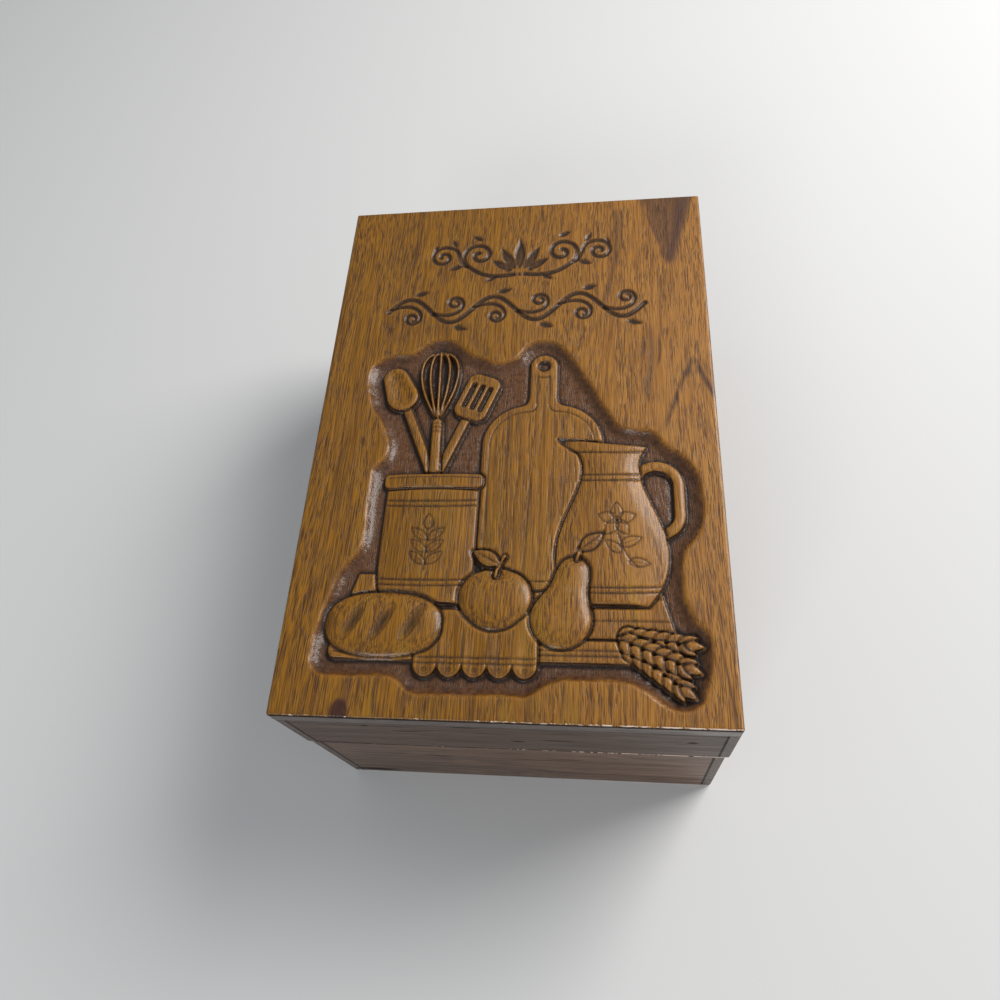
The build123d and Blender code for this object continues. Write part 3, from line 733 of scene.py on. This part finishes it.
def carve_board(relief):
    half = (BOARD_SHOULDER - BOARD_FOOT) / 2
    body = rounded_box(*local(BOARD_X, BOARD_FOOT + half), BOARD_WIDTH / 2, half, 19.0)
    half = (GRIP_TOP - BOARD_SHOULDER + GRIP_WIDTH) / 2
    grip = rounded_box(*local(BOARD_X, GRIP_TOP - half), GRIP_WIDTH / 2, half, GRIP_WIDTH / 2)
    hole = circle(BOARD_X, GRIP_TOP - GRIP_WIDTH / 2, 2.6)
    outline = np.maximum(union(body, grip, 4.0), -hole)
    relief.cushion(outline, -2.4, -1.7, 1.5)
    border = unit(1 - np.abs(outline + 3.4) / 0.4)
    relief.cut(0.45 * border, 0.85 * border)
    inside = smooth(-outline, 4.4, 5.4)
    for k in range(9):
        x = BOARD_X - 19 + 4.7 * k
        y = np.linspace(BOARD_FOOT + 6, BOARD_SHOULDER, 40)
        wave = pairs(x + 0.7 * np.sin(0.11 * y + 1.7 * k), y)
        relief.engrave(wave, 0.6, 0.25, 0.6, where=inside)


def carve_handle(relief, lean, length, half, edge, top):
    """A round-ended handle that stands in the crock's mouth."""
    bar = rounded_box(*local(*MOUTH, lean, length / 2), half, length / 2, half - 0.1)
    relief.cushion(bar, edge, top, half - 0.1)


def carve_spoon(relief):
    carve_handle(relief, SPOON_LEAN, SPOON_HANDLE, HANDLE_HALF, -2.0, -0.9)
    bowl = tapered(*local(*MOUTH, SPOON_LEAN, SPOON_BOWL), BOWL_LENGTH, BOWL_R, BOWL_TIP_R)
    relief.set_in(bowl, pillow(bowl, -1.9, -0.8, 1.6) - 1.3 * smooth(-bowl, 1.3, 6.0))


def carve_turner(relief):
    carve_handle(relief, TURNER_LEAN, TURNER_HANDLE, HANDLE_HALF, -2.0, -1.0)
    u, v = local(*MOUTH, TURNER_LEAN, TURNER_HANDLE + BLADE_LENGTH / 2 - BLADE_LAP)
    blade = rounded_box(u, v, BLADE_HALF, BLADE_LENGTH / 2, 4.2)
    for slot in (-3.75, 0, 3.75):
        blade = np.maximum(blade, -rounded_box(u - slot, v, 0.85, 6.5, 0.8))
    relief.cushion(blade, -1.9, -1.2, 1.2)


def carve_whisk(relief):
    foot, top = WHISK_HANDLE, WHISK_TOP
    for half, sides in ((WHISK_HALF, (1, -1)), (0.52 * WHISK_HALF, (1, -1)), (0, (1,))):
        loop = bezier((0, foot), (half, foot + 12), (half * 1.55, top), (0, top), 26)
        for side in sides:
            relief.wire(turned(loop * (side, 1), *MOUTH, WHISK_LEAN), 0.75, -0.7)
    carve_handle(relief, WHISK_LEAN, foot, HANDLE_HALF + 0.2, -1.7, -0.6)
    for lift in (foot - 6.5, foot - 4.5, foot - 2.5):
        relief.engrave(turned([(-2.2, lift), (2.2, lift)], *MOUTH, WHISK_LEAN), 0.7, 0.4)


def sprig(relief, x, y, height, leaf_length, leaf_pairs):
    """An incised stem with pairs of leaves and a bud."""
    relief.engrave([(x, y), (x, y + height)], 0.8, 0.4)
    for k in range(leaf_pairs):
        at = y + height * (k + 0.4) / (leaf_pairs + 0.3)
        for side in (-1, 1):
            engrave_leaf(relief, x, at, -52 * side, leaf_length, leaf_length * 0.42, (0, leaf_length * 0.75))
    engrave_leaf(relief, x, y + height, 0, leaf_length * 0.8, leaf_length * 0.45)


def carve_crock(relief):
    half, foot_half, knee = CROCK_WIDTH / 2, CROCK_FOOT_WIDTH / 2, CROCK_FOOT + CROCK_WIDTH / 4
    foot = bezier((foot_half, CROCK_FOOT), (half * 0.93, CROCK_FOOT + 4), (half, knee), (half, knee + 8), 8)
    side = np.concatenate([foot, [(half, CROCK_MOUTH)]])
    outline = polygon(np.concatenate([side, side[::-1] * (-1, 1)]) + (CROCK_X, 0))
    relief.cushion(outline, -2.4, -0.1, 2.2, crown=-0.15 - 1.7 * ((X - CROCK_X) / half) ** 2)
    for y in (CROCK_MOUTH - 8.5, CROCK_MOUTH - 10.8, CROCK_FOOT + 10.0, CROCK_FOOT + 7.8):
        hoop(relief, CROCK_X, y, half - 0.6, 8, 1.4)
    sprig(relief, CROCK_X, CROCK_FOOT + 13.5, 16.5, 8.5, 3)
    u, v = local(*MOUTH)
    rim = rounded_box(u, v, half + 1.6, CROCK_RIM / 2, 2.1)
    relief.cushion(rim, -1.6, -0.05, 1.6, crown=-0.05 - 1.5 * (u / (half + 1.6)) ** 2)
    relief.engrave([(CROCK_X - half, CROCK_MOUTH + 1.5), (CROCK_X + half, CROCK_MOUTH + 1.5)], 0.7, 0.35)


def jug_half_width(y):
    """The jug's profile from foot to lip, smooth near its named half widths."""
    foot, height = JUG_FOOT, JUG_LIP - JUG_FOOT
    fit = np.polyfit((np.array(JUG_HEIGHTS) - foot) / height, JUG_HALVES, 5)
    return np.polyval(fit, (y - foot) / height)


def carve_jug(relief):
    u, v = local(*JUG_EAR)
    ear = np.maximum(rounded_box(u, v, 11, 17, 10.9), -rounded_box(u, v, 6.4, 12.4, 6.3))
    relief.cushion(ear, -2.0, -0.8, 2.3)
    heights = np.linspace(JUG_FOOT, JUG_LIP, 30)
    side = pairs(jug_half_width(heights), heights)
    lip = [(14.5, JUG_LIP), (6, JUG_LIP + 0.8), (-21.0, JUG_LIP + 4.0), (-19.5, JUG_LIP + 2.2)]
    body = polygon(np.concatenate([side, lip, side[-2::-1] * (-1, 1)]) + (JUG_X, 0))
    across = np.abs(X - JUG_X) / np.maximum(jug_half_width(np.clip(Y, JUG_FOOT, JUG_LIP)), 5)
    relief.cushion(body, -2.4, -0.05, 2.4, crown=-0.1 - 1.9 * np.clip(across, 0, 1.3) ** 2.2)
    for y in (-25.5, -28.0, -72.5, -74.6):
        hoop(relief, JUG_X, y, jug_half_width(y) - 0.6, 5, 1.2)
    left, right = ((-17, -1.2), (-5, -4)), ((6, -3.6), (13, -2.4))
    relief.engrave(bezier(*left, *right, 16) + (JUG_X, JUG_LIP), 0.9, 0.5)
    x, y = JUG_X + 2.0, -46.0
    for k in range(5):
        engrave_leaf(relief, x, y, 72 * k, 7.5, 4.6)
    relief.engrave(arc(x, y, 1.5), 0.7, 0.4)
    relief.engrave(bezier((x + 0.5, y - 5.5), (x + 1.0, -56), (x + 3.5, -62), (x + 7.5, -65), 14), 0.8, 0.4)
    for out, leaf_y, lean, size in ((0.8, -56.5, -68, 9.0), (1.6, -59.5, 50, 8.0), (4.0, -63.0, -95, 8.0)):
        engrave_leaf(relief, x + out, leaf_y, lean, size, size * 0.45, (0.5, size * 0.8))


def carve_cloth(relief):
    left, right = CLOTH_X - CLOTH_WIDTH / 2, CLOTH_X + CLOTH_WIDTH / 2
    scallops = [left + SCALLOP_R * (2 * k + 1) for k in range(SCALLOPS)]
    half = (CLOTH_TOP - CLOTH_HEM) / 2
    outline = rounded_box(*local(CLOTH_X, CLOTH_HEM + half), CLOTH_WIDTH / 2, half, 0.5)
    for x in scallops:
        outline = np.minimum(outline, circle(x, CLOTH_HEM, SCALLOP_R))
    folds = 0.28 * np.cos(np.pi * (X - left) / SCALLOP_R) * smooth(CLOTH_TOP - 8 - Y, 0, 6)
    relief.set_in(outline, pillow(outline, -1.7, -0.85, 1.4) + folds)
    for y in (CLOTH_HEM + 0.5, CLOTH_HEM + 2.6):
        relief.engrave([(left + 0.5, y), (right - 0.5, y)], 0.8, 0.4)
    for x in scallops:
        relief.engrave(arc(x, CLOTH_HEM - 0.6, SCALLOP_R - 1.7, 200, 340), 0.6, 0.35)
        relief.engrave(arc(x, CLOTH_HEM - 1.8, 0.7, count=10), 0.6, 0.3)
    for x in scallops[1:]:
        fold = x - SCALLOP_R
        relief.engrave([(fold, CLOTH_TOP - 8), (fold, CLOTH_HEM + 3)], 0.7, 0.35, 0.7)


def carve_loaf(relief):
    u, v = local(LOAF_X, LOAF_Y)
    half_u, half_v, power = LOAF_LENGTH / 2, LOAF_WIDTH / 2, 2.5
    bulge = (np.abs(u / half_u) ** power + np.abs(v / half_v) ** power) ** (1 / power)
    slope = np.hypot(u / half_u**2, v / half_v**2) / np.maximum(np.hypot(u / half_u, v / half_v), 1e-6)
    relief.cushion((bulge - 1) / np.maximum(slope, 1 / half_u), -2.6, -0.05, 9.0)
    for out in (-11.5, 0, 11.5):
        place = (LOAF_X + out, LOAF_Y + 0.6, -28)
        u, v = local(*place)
        slash = np.hypot(u / 2.3, v / 8.2) - 1
        relief.cut(1.15 * np.sqrt(unit(-slash)), 0.6 * smooth(-slash, 0.0, 0.5))
        relief.engrave(turned(arc(0, 0, 1, 90, -270, 28) * (2.3, 8.2), *place), 0.6, 0.3, 0.8)


def fruit_leaf(relief, x, y, lean, length, width, top):
    outline = polygon(leaf(x, y, lean, length, width))
    middle = 0.25 * bell(local(x, y, lean)[0] / 0.5)
    relief.set_in(outline, pillow(outline, top - 0.9, top, 1.6) - middle, cut=0.9)
    relief.engrave(turned([(0, 0), (0, length * 0.86)], x, y, lean), 0.6, 0.3)
    for k in range(1, 5):
        at = length * k / 5.5
        for side in (-1, 1):
            relief.engrave(turned([(0, at), (side * width * 0.33, at + 2.0)], x, y, lean), 0.45, 0.2, 0.6)


def carve_apple(relief):
    x, y = APPLE_X, APPLE_Y
    apple = np.minimum(circle(x - 3.4, y, APPLE_R - 2.4), circle(x + 3.4, y, APPLE_R - 2.4))
    apple = np.minimum(apple, circle(x, y - 0.6, APPLE_R - 0.6))
    dimple = 1.3 * bell((X - x) / 3.6) * bell((Y - y - 9.0) / 2.4)
    relief.set_in(apple, pillow(apple, -2.5, -0.05, 10.0) - dimple)
    relief.wire(bezier((x, y + 8), (x + 0.4, y + 11), (x + 1.6, y + 14), (x + 3.2, y + 16), 12), 0.9, -0.2)
    fruit_leaf(relief, x + 1.5, y + 12.5, 62, 12.5, 6.4, -0.3)
    for start, stop in ((205, 262), (290, 335)):
        relief.engrave(arc(x, y - 1, 9.6, start, stop, 14), 0.6, 0.25, 0.6)


def carve_pear(relief):
    across, up = PEAR_TOP_X - PEAR_X, PEAR_TOP_Y - PEAR_Y
    lean, length = -math.degrees(math.atan2(across, up)), math.hypot(across, up)
    u, v = local(PEAR_X, PEAR_Y, lean)
    waist = 1.1 * bell((v - 0.62 * length) / 5.0)
    relief.cushion(tapered(u, v, length, PEAR_R, PEAR_TOP_R) + waist, -2.5, -0.05, 8.5)
    top = length + PEAR_TOP_R
    stalk = turned([(0, top - 1), (0.3, top + 3), (1.6, top + 6)], PEAR_X, PEAR_Y, lean)
    relief.wire(stalk, 0.85, -0.2)
    fruit_leaf(relief, *stalk[1], -52, 11, 5.6, -0.35)
    for k in range(16):
        r = 1.9 * math.sqrt(k + 1)
        x, y = PEAR_X + r * math.cos(2.4 * k), PEAR_Y - 1 + r * math.sin(2.4 * k)
        relief.engrave([(x, y), (x + 0.15, y)], 0.7, 0.25, 0.7)


def wheat_grain(relief, root, lean, length, width):
    relief.cushion(polygon(leaf(*root, lean, length, width)), -1.7, -0.5, 1.6, groove=1.0, cut=0.9)


def carve_wheat(relief):
    for y, lean in WHEAT_EARS:
        for k in range(6):
            for side in (-1, 1):
                root = turned([(side * 0.4, 4.3 * k - 11.5)], WHEAT_X, y, lean)[0]
                wheat_grain(relief, root, lean - side * 24, 7.2, 3.9)
                relief.engrave(turned([(0, 1.2), (0, 5.4)], *root, lean - side * 24), 0.4, 0.2, 0.6)
        wheat_grain(relief, turned([(0, 12.0)], WHEAT_X, y, lean)[0], lean, 7.4, 3.6)


# ---- The sunk ground round the motifs
def both_sides(x, r, *places):
    """Discs of a radius on both sides of x, each at a half width and a height."""
    return [(x + side * half, y, r) for side in (-1, 1) for half, y in places]


def leant(discs, x, y, lean):
    """Discs drawn upright from 0, leant and moved to a place."""
    centres = turned([disc[:2] for disc in discs], x, y, lean)
    return [(*centre, disc[2]) for centre, disc in zip(centres, discs)]


def ground_shapes():
    """The motifs as groups of discs (x, y, radius), whose convex outlines the ground goes round."""
    heights = np.clip(JUG_HEIGHTS, JUG_FOOT + 1, JUG_LIP - 1)
    jug = both_sides(JUG_X, 1.0, *[(half - 1, y) for half, y in zip(JUG_HALVES, heights)])
    crock = both_sides(CROCK_X, 0.5, (15.0, CROCK_FOOT), (18.5, CROCK_FOOT + 9.5))
    crock += both_sides(CROCK_X, 0.5, (19.5, CROCK_MOUTH - 3), (19.5, CROCK_MOUTH + 3))
    spoon = [(0, 0, HANDLE_HALF), (0, SPOON_BOWL, BOWL_R), (0, SPOON_BOWL + BOWL_LENGTH, BOWL_TIP_R)]
    turner = both_sides(0, 0.5, (2, 0), (BLADE_HALF, TURNER_HANDLE), (BLADE_HALF, 55))
    wide, cloth_half = TABLE_HALF + 0.5, CLOTH_WIDTH / 2 - SCALLOP_R
    return [
        leant(spoon, *MOUTH, SPOON_LEAN),
        leant(turner, *MOUTH, TURNER_LEAN),
        leant([(0, 0, 2.3), (-1.9, 54.5, 8.2), (-2.1, 60, 4.5)], *MOUTH, 0),
        crock,
        [*jug, (JUG_X - 20.5, JUG_LIP + 3.0, 1.0)],
        [*both_sides(BOARD_X, 19.0, (6.0, -55.0), (6.0, -11.0)), (BOARD_X, GRIP_TOP - 6.0, 6.0)],
        [d for y, lean in WHEAT_EARS for d in leant([(0, -13.0, 2.4), (0, 13.0, 2.4)], WHEAT_X, y, lean)],
        both_sides(0, 0.5, (TABLE_BACK_HALF, TABLE_BACK), (wide, TABLE_FRONT), (wide, TABLE_FRONT - 8.0)),
        both_sides(CLOTH_X, SCALLOP_R, (cloth_half, CLOTH_TOP - SCALLOP_R), (cloth_half, CLOTH_HEM)),
        leant([(0, -6.1, 10.9), (0, 6.1, 10.9)], *JUG_EAR, 0),
    ]


def hull(discs):
    """The convex outline round some discs."""
    points = sorted(tuple(p) for x, y, r in discs for p in arc(x, y, r, 0, 345))

    def left_turn(a, b, c):
        return (b[0] - a[0]) * (c[1] - b[1]) - (b[1] - a[1]) * (c[0] - b[0])

    def half(points):
        chain = []
        for point in points:
            while len(chain) > 1 and left_turn(*chain[-2:], point) <= 0:
                chain.pop()
            chain.append(point)
        return chain[:-1]

    return np.array(half(points) + half(points[::-1]))


def ground_reach():
    """Distance outside the motifs' convex outlines, with the corners between their halos filled."""
    reach, step = HALO + FILL, 1.2
    gx = np.arange(-LID_WIDTH / 2 - 2 * reach, LID_WIDTH / 2 + 2 * reach, step)
    gy = np.arange(-LID_LENGTH / 2 - 2 * reach, LID_LENGTH / 2 + 2 * reach, step)
    cx, cy = np.meshgrid(gx, gy)
    grown = np.minimum.reduce([outline_distance(hull(discs), cx, cy) for discs in ground_shapes()])
    rim = []  # where the distance passes reach, on the grid's lines
    for low, high, way in ((grown[:-1], grown[1:], (0, 1)), (grown[:, :-1], grown[:, 1:], (1, 0))):
        j, i = np.nonzero((low < reach) != (high < reach))
        share = step * (reach - low[j, i]) / (high[j, i] - low[j, i])
        rim.append(pairs(cx[j, i] + way[0] * share, cy[j, i] + way[1] * share))
    rim = np.concatenate(rim)
    inward = [np.hypot(a[:, None] - rim[:, 0], b[:, None] - rim[:, 1]).min(axis=1) for a, b in zip(cx, cy)]
    away = reach - np.where(grown < reach, inward, np.negative(inward))
    away = np.stack([np.interp(xs, gx, row) for row in away])
    return np.stack([np.interp(ys, gy, column) for column in away.T], axis=1)


def gouge_scoops(width):
    """Shallow hollows side by side, their middles scattered."""
    cx, cy = X / width, Y / (width * 1.25)
    ix, iy = np.floor(cx), np.floor(cy)
    best = np.full(X.shape, FAR)
    for i in (-1, 0, 1):
        for j in (-1, 0, 1):
            jx = scatter(ix + i, iy + j, 91.7, 47.3, 9631.7)
            jy = scatter(ix + i, iy + j, 33.1, 76.9, 7187.3)
            best = np.minimum(best, np.hypot(cx - ix - i - jx, cy - iy - j - jy))
    return 0.26 * unit(best) ** 2


def carve_ground(relief):
    """Sink the ground round the motifs, coved and hollowed by a gouge, stained, with painted shade round the
    motifs' feet.
    """
    ragged = 1.3 * (value_noise(X / 8, Y / 8, 3) - 0.5) + 0.5 * (value_noise(X / 3, Y / 3, 4) - 0.5)
    away = ground_reach() + ragged
    share = unit((away - 1.0) / (HALO - 0.7))
    cove = -DEPTH * (1 - share**2.6) ** 1.15
    sunk = relief.outline > 0
    depth = np.minimum(cove + gouge_scoops(2.3) * smooth(-cove, 0.2, 1.2), 0)
    relief.height = np.where(sunk, np.maximum(relief.height + DEPTH + depth, depth - 0.3), relief.height)
    relief.height = np.where(sunk & (share >= 1), 0, relief.height)
    halo = 0.32 * (1 - smooth(away, HALO - 1.0, HALO + 1.8))
    relief.ground = np.where(sunk, np.maximum(smooth(-cove, 0.1, 1.4), halo), 0)
    # painted shade: a dark band round the motifs' feet
    relief.darken(np.where(sunk, 0.9 * bell((relief.outline - 0.4) / 0.6), 0))


# ---- The two bands of scrolls
CREST_Y = 91.5
ROW_Y, ROW_LEFT, ROW_RIGHT, ROW_WAVES, ROW_SWING = 59.5, -60.0, 57.0, 3, 7.0


def tendril(x, y, heading, length, bend_start, bend_end):
    """A path from a place in a direction, whose bend grows evenly, in degrees to a millimetre."""
    count = 70
    step = length / count
    points = [(x, y)]
    for k in range(count):
        heading += (bend_start + (bend_end - bend_start) * (k / count) ** 1.6) * step
        x += step * math.cos(math.radians(heading))
        y += step * math.sin(math.radians(heading))
        points.append((x, y))
    return np.array(points)


def chip(relief, outline, depth=0.75):
    """A hollow cut in from an outline to a valley along its middle."""
    inside = np.clip(-polygon(outline), 0, None)
    relief.cut(depth * unit(inside / 1.3), 0.8 * smooth(inside, 0.0, 1.0))


def stroke(relief, path, width=2.3, depth=0.85):
    """A round-bottomed groove, stained, and darkest along its two edges with painted shade."""
    d = near(path, width)
    half = width / 2
    relief.cut(depth * np.sqrt(unit(1 - (d / half) ** 2)), 0.68 * smooth(-d, -half, -half * 0.5))
    # painted shade along the groove's two edges
    relief.darken(0.85 * bell((d - half * 0.85) / 0.35))


def scroll_row(relief, y, left, right, waves, swing):
    """A running vine: a wave with a curl and a leaf in each hollow."""
    length = (right - left) / waves
    pace = 2 * math.pi / length
    x = np.linspace(left, right, 40 * waves)
    stroke(relief, pairs(x, y + swing * np.sin(pace * (x - left))))
    for k in range(2 * waves):
        side = -1 if k % 2 else 1
        along_wave = length * (0.5 * k + 0.03)
        root_y = y + swing * math.sin(pace * along_wave)
        heading = math.degrees(math.atan(swing * pace * math.cos(pace * along_wave)))
        curl = tendril(left + along_wave, root_y, heading - side * 22, 37.0, -side * 3.0, -side * 34.0)
        stroke(relief, curl, 1.8, 0.75)
        top = left + length * (0.5 * k + 0.25)
        chip(relief, leaf(top + 1.0, y + side * (swing + 2.2), -90 + side * 16, 8.5, 4.2))


def volute(start, heading, centre, radius, angle, turn):
    """A stem that leaves a place in a direction and winds up round a centre."""
    t = np.linspace(0, 1, 60)
    shrink = radius * (1 - 0.84 * t**0.85)
    angles = np.radians(angle + turn * t)
    curl = pairs(centre[0] + shrink * np.cos(angles), centre[1] + shrink * np.sin(angles))
    along_curl = (curl[1] - curl[0]) / math.dist(curl[1], curl[0])
    length = 0.42 * math.dist(curl[0], start)
    leave = turned([(length, 0)], *start, heading)[0]
    stem = bezier(start, leave, curl[0] - length * along_curl, curl[0], 30)
    return np.concatenate([stem, curl[1:]])


CREST_LEAVES = (  # x, height, lean and length of the right half's leaves
    (10.0, -12.5, 120, 7.5),
    (26.5, -5.0, 112, 8.5),
    (17.5, 9.6, 62, 8.0),
    (30.5, 5.6, 26, 7.0),
    (42.4, 3.6, -28, 6.0),
    (7.0, -11.0, -52, 5.5),
)


def scroll_crest(relief, y):
    """A palmette between pairs of volutes."""
    for k in (-2, -1, 0, 1, 2):
        chip(relief, leaf(1.5 * k, y - 9.5, -29 * k, 20.0 - 3.4 * abs(k), 6.2 - 0.4 * abs(k)), 1.0)
    chip(relief, arc(0, y - 12.2, 1.5, count=14), 0.7)
    for flip in ((-1, 1), (1, 1)):
        stroke(relief, volute((2.6, y - 12.2), -8, (19.5, y + 0.5), 8.6, -62, 500) * flip)
        stroke(relief, volute((25.6, y - 6.0), 38, (37.0, y + 0.2), 6.6, 118, -490) * flip, 2.1, 0.8)
        for x, up, lean, size in CREST_LEAVES:
            chip(relief, leaf(x, y + up, -lean, size, size * 0.48) * flip)


def soften(field):
    """Each point's mean with its four neighbours, which rounds the steps of the grid."""
    padded = np.pad(field, 1, "edge")
    beside = padded[:-2, 1:-1] + padded[2:, 1:-1] + padded[1:-1, :-2] + padded[1:-1, 2:]
    return 0.6 * field + 0.1 * beside


MOTIFS = (carve_table, carve_board, carve_spoon, carve_turner, carve_whisk, carve_crock, carve_jug)
MOTIFS += (carve_cloth, carve_loaf, carve_apple, carve_pear, carve_wheat)


def carve():
    """The whole carving, its motifs from back to front."""
    relief = Relief()
    for motif in MOTIFS:
        motif(relief)
    carve_ground(relief)
    scroll_crest(relief, CREST_Y)
    scroll_row(relief, ROW_Y, ROW_LEFT, ROW_RIGHT, ROW_WAVES, ROW_SWING)
    relief.height += 0.05 * (value_noise(X / 34, Y / 46, 8) - 0.5)
    relief.height = np.minimum(soften(relief.height), -0.004)
    relief.lines = soften(relief.lines)
    return relief


# ---- The lid's board as a mesh: fine cells where the carving bends, coarse ones elsewhere
EDGE = 2 * STEP  # rounding of the upper edges
SEAM = 0.35  # bevel of the lower edges
FLATNESS = 0.09  # how far the mesh may be from the carving, and up to four times that in the ground
# the mask weighed here holds the lines' stain and painted shade
STAIN_AND_SHADE_SHARE = 0.16  # weight of the stain beside the height


def cell_errors(height, size):
    """How far each cell of a size is from its four corners' surface."""
    a, b = height[:-1:size, :-1:size], height[:-1:size, size::size]
    c, d = height[size::size, :-1:size], height[size::size, size::size]
    worst = np.zeros(a.shape)
    rows, columns = a.shape
    for j in range(size + 1):
        for i in range(size + 1):
            u, v = i / size, j / size
            flat = (a * (1 - u) + b * u) * (1 - v) + (c * (1 - u) + d * u) * v
            true = height[j : j + size * (rows - 1) + 1 : size, i : i + size * (columns - 1) + 1 : size]
            worst = np.maximum(worst, np.abs(true - flat))
    return worst


def widened(mask):
    """A mask with one more cell on every side of what it holds."""
    padded = np.pad(mask, 1)
    rows, columns = mask.shape
    return np.any([padded[j : j + rows, i : i + columns] for j in range(3) for i in range(3)], axis=0)


def kept_cells(height, stain, calm):
    """Row, column and size of each cell kept. Neighbours differ by at most two to one."""
    sizes = (2, 4, 8, ROOT)
    splits = {}
    for size in sizes:
        error = np.maximum(cell_errors(height, size), STAIN_AND_SHADE_SHARE * cell_errors(stain, size))
        split = error > FLATNESS * (1 + 3 * calm[:-1:size, :-1:size])
        split[[0, -1], :] = True
        split[:, [0, -1]] = True
        if size > 2:
            joined = splits[size // 2].reshape(split.shape[0], 2, split.shape[1], 2).any(axis=(1, 3))
            split |= widened(joined)
        splits[size] = split
    kept = []
    alive = np.ones(splits[ROOT].shape, bool)
    for size in reversed(sizes):
        kept += [(j * size, i * size, size) for j, i in np.argwhere(alive & ~splits[size])]
        alive = np.repeat(np.repeat(alive & splits[size], 2, 0), 2, 1)
    return kept + [(j, i, 1) for j, i in np.argwhere(alive)]


def edge_shape(height):
    """The grid's places, its outermost cells moved onto the rounded edges and corners."""
    into_x = unit(1 - (LID_WIDTH / 2 - np.abs(X)) / EDGE)
    into_y = unit(1 - (LID_LENGTH / 2 - np.abs(Y)) / EDGE)
    polar = np.maximum(into_x, into_y) * math.pi / 2
    low_turn, high_turn = into_y / np.maximum(into_x, 1e-9), 2 - into_x / np.maximum(into_y, 1e-9)
    turn = np.where(into_x >= into_y, low_turn, high_turn) * math.pi / 4
    worn = EDGE * (1 + 0.35 * (value_noise(X / 9, Y / 9, 21) - 0.5))
    x = np.sign(X) * (LID_WIDTH / 2 - EDGE + EDGE * np.sin(polar) * np.cos(turn))
    y = np.sign(Y) * (LID_LENGTH / 2 - EDGE + EDGE * np.sin(polar) * np.sin(turn))
    return np.where(into_x > 0, x, X), np.where(into_y > 0, y, Y), height - worn * (1 - np.cos(polar))


def blur(field, radius):
    """Box blur of rows and columns, twice, by a radius in grid steps."""
    width = 2 * radius + 1
    for _ in range(4):
        total = np.cumsum(np.pad(field.T, ((radius + 1, radius), (0, 0)), "edge"), axis=0)
        field = (total[width:] - total[:-width]) / width
    return field


def stain_shade_and_highlight_masks(relief):
    """Stain of the ground; stain of lines with painted shade in hollows; and ridges paler, partly worn and
    partly a painted highlight.
    """
    hollow = blur(relief.height, 3) - relief.height
    wide = blur(relief.height, 9) - relief.height
    # painted shade: darker in narrow and wide hollows
    lines = unit(relief.lines + smooth(hollow, 0.06, 0.5) * 0.6 + smooth(wide, 0.2, 1.2) * 0.4)
    return relief.ground, lines, smooth(-hollow, 0.05, 0.3) * (1 - relief.ground)


def cell_corners(j, i, size):
    """A cell's corners and, where it may meet smaller cells, the middles of its sides, all round."""
    ring = ((0, 0), (0, 1), (0, 2), (1, 2), (2, 2), (2, 1), (2, 0), (1, 0))[:: 1 if size > 1 else 2]
    return [(j + size * down // 2, i + size * across // 2) for down, across in ring]


def lid_mesh(relief):
    """The carved top, straight sides down to a small bevel, and the underside."""
    x, y, z = edge_shape(relief.height)
    cells = kept_cells(z, relief.lines, relief.ground)
    used = np.zeros(X.shape, bool)
    for j, i, s in cells:
        used[j : j + s + 1 : s, i : i + s + 1 : s] = True
    number = np.full(X.shape, -1)
    number[used] = np.arange(used.sum())
    points = np.stack([x[used], y[used], z[used]], axis=1)
    faces = [[number[p] for p in cell_corners(*cell) if number[p] >= 0] for cell in cells]
    border = [(0, i) for i in range(COLUMNS)] + [(j, COLUMNS) for j in range(ROWS)]
    border += [(ROWS, i) for i in range(COLUMNS, 0, -1)] + [(j, 0) for j in range(ROWS, 0, -1)]
    ring = [number[p] for p in border if number[p] >= 0]
    rim = points[ring]
    count, start = len(ring), len(points)
    low = rim * (1, 1, 0) - (0, 0, LID_THICKNESS - SEAM)
    foot = rim * (1 - SEAM / (LID_WIDTH / 2), 1 - SEAM / (LID_LENGTH / 2), 0) - (0, 0, LID_THICKNESS)
    points = np.concatenate([points, low, foot]) + (0, 0, LID_TOP)
    rings = [ring, list(range(start, start + count)), list(range(start + count, start + 2 * count))]
    for upper, lower in zip(rings, rings[1:]):
        faces += [[upper[k - 1], lower[k - 1], lower[k], upper[k]] for k in [*range(1, count), 0]]
    faces.append(rings[-1][::-1])
    mesh = bpy.data.meshes.new("lid_carved_board")
    mesh.from_pydata((points * MM).tolist(), [], faces)
    masks = np.zeros((len(points), 4))
    masks[:, 3] = 1
    for column, field in enumerate(stain_shade_and_highlight_masks(relief)):
        masks[:start, column] = field[used]
    mesh.color_attributes.new("carving", "FLOAT_COLOR", "POINT").data.foreach_set("color", masks.ravel())
    mesh.polygons.foreach_set("use_smooth", [True] * (len(faces) - 1) + [False])
    mesh.update()
    return mesh


def add_lid_board():
    mesh = lid_mesh(carve())
    board = add("lid_carved_board", mesh)
    mesh.materials.append(carved_wood())
    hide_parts("lid_top_board")
    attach(board, "lid")


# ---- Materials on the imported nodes
def dress_nodes():
    """The material of each node, by the first of some words that its name holds."""
    cross, sides = board_wood("wood_cross", "x", 4.0), board_wood("wood_sides", "y", 9.0)
    looks = {"hinge": brass(), "brads": steel(), "left": sides, "right": sides, "panel": sides}
    looks.update(front=cross, back=cross)
    for node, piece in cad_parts.items():
        fits = [material for word, material in looks.items() if word in node]
        if fits:
            for slot in piece.material_slots:
                slot.material = fits[0]


add_camera()
add_stage()
dress_nodes()
add_lid_board()
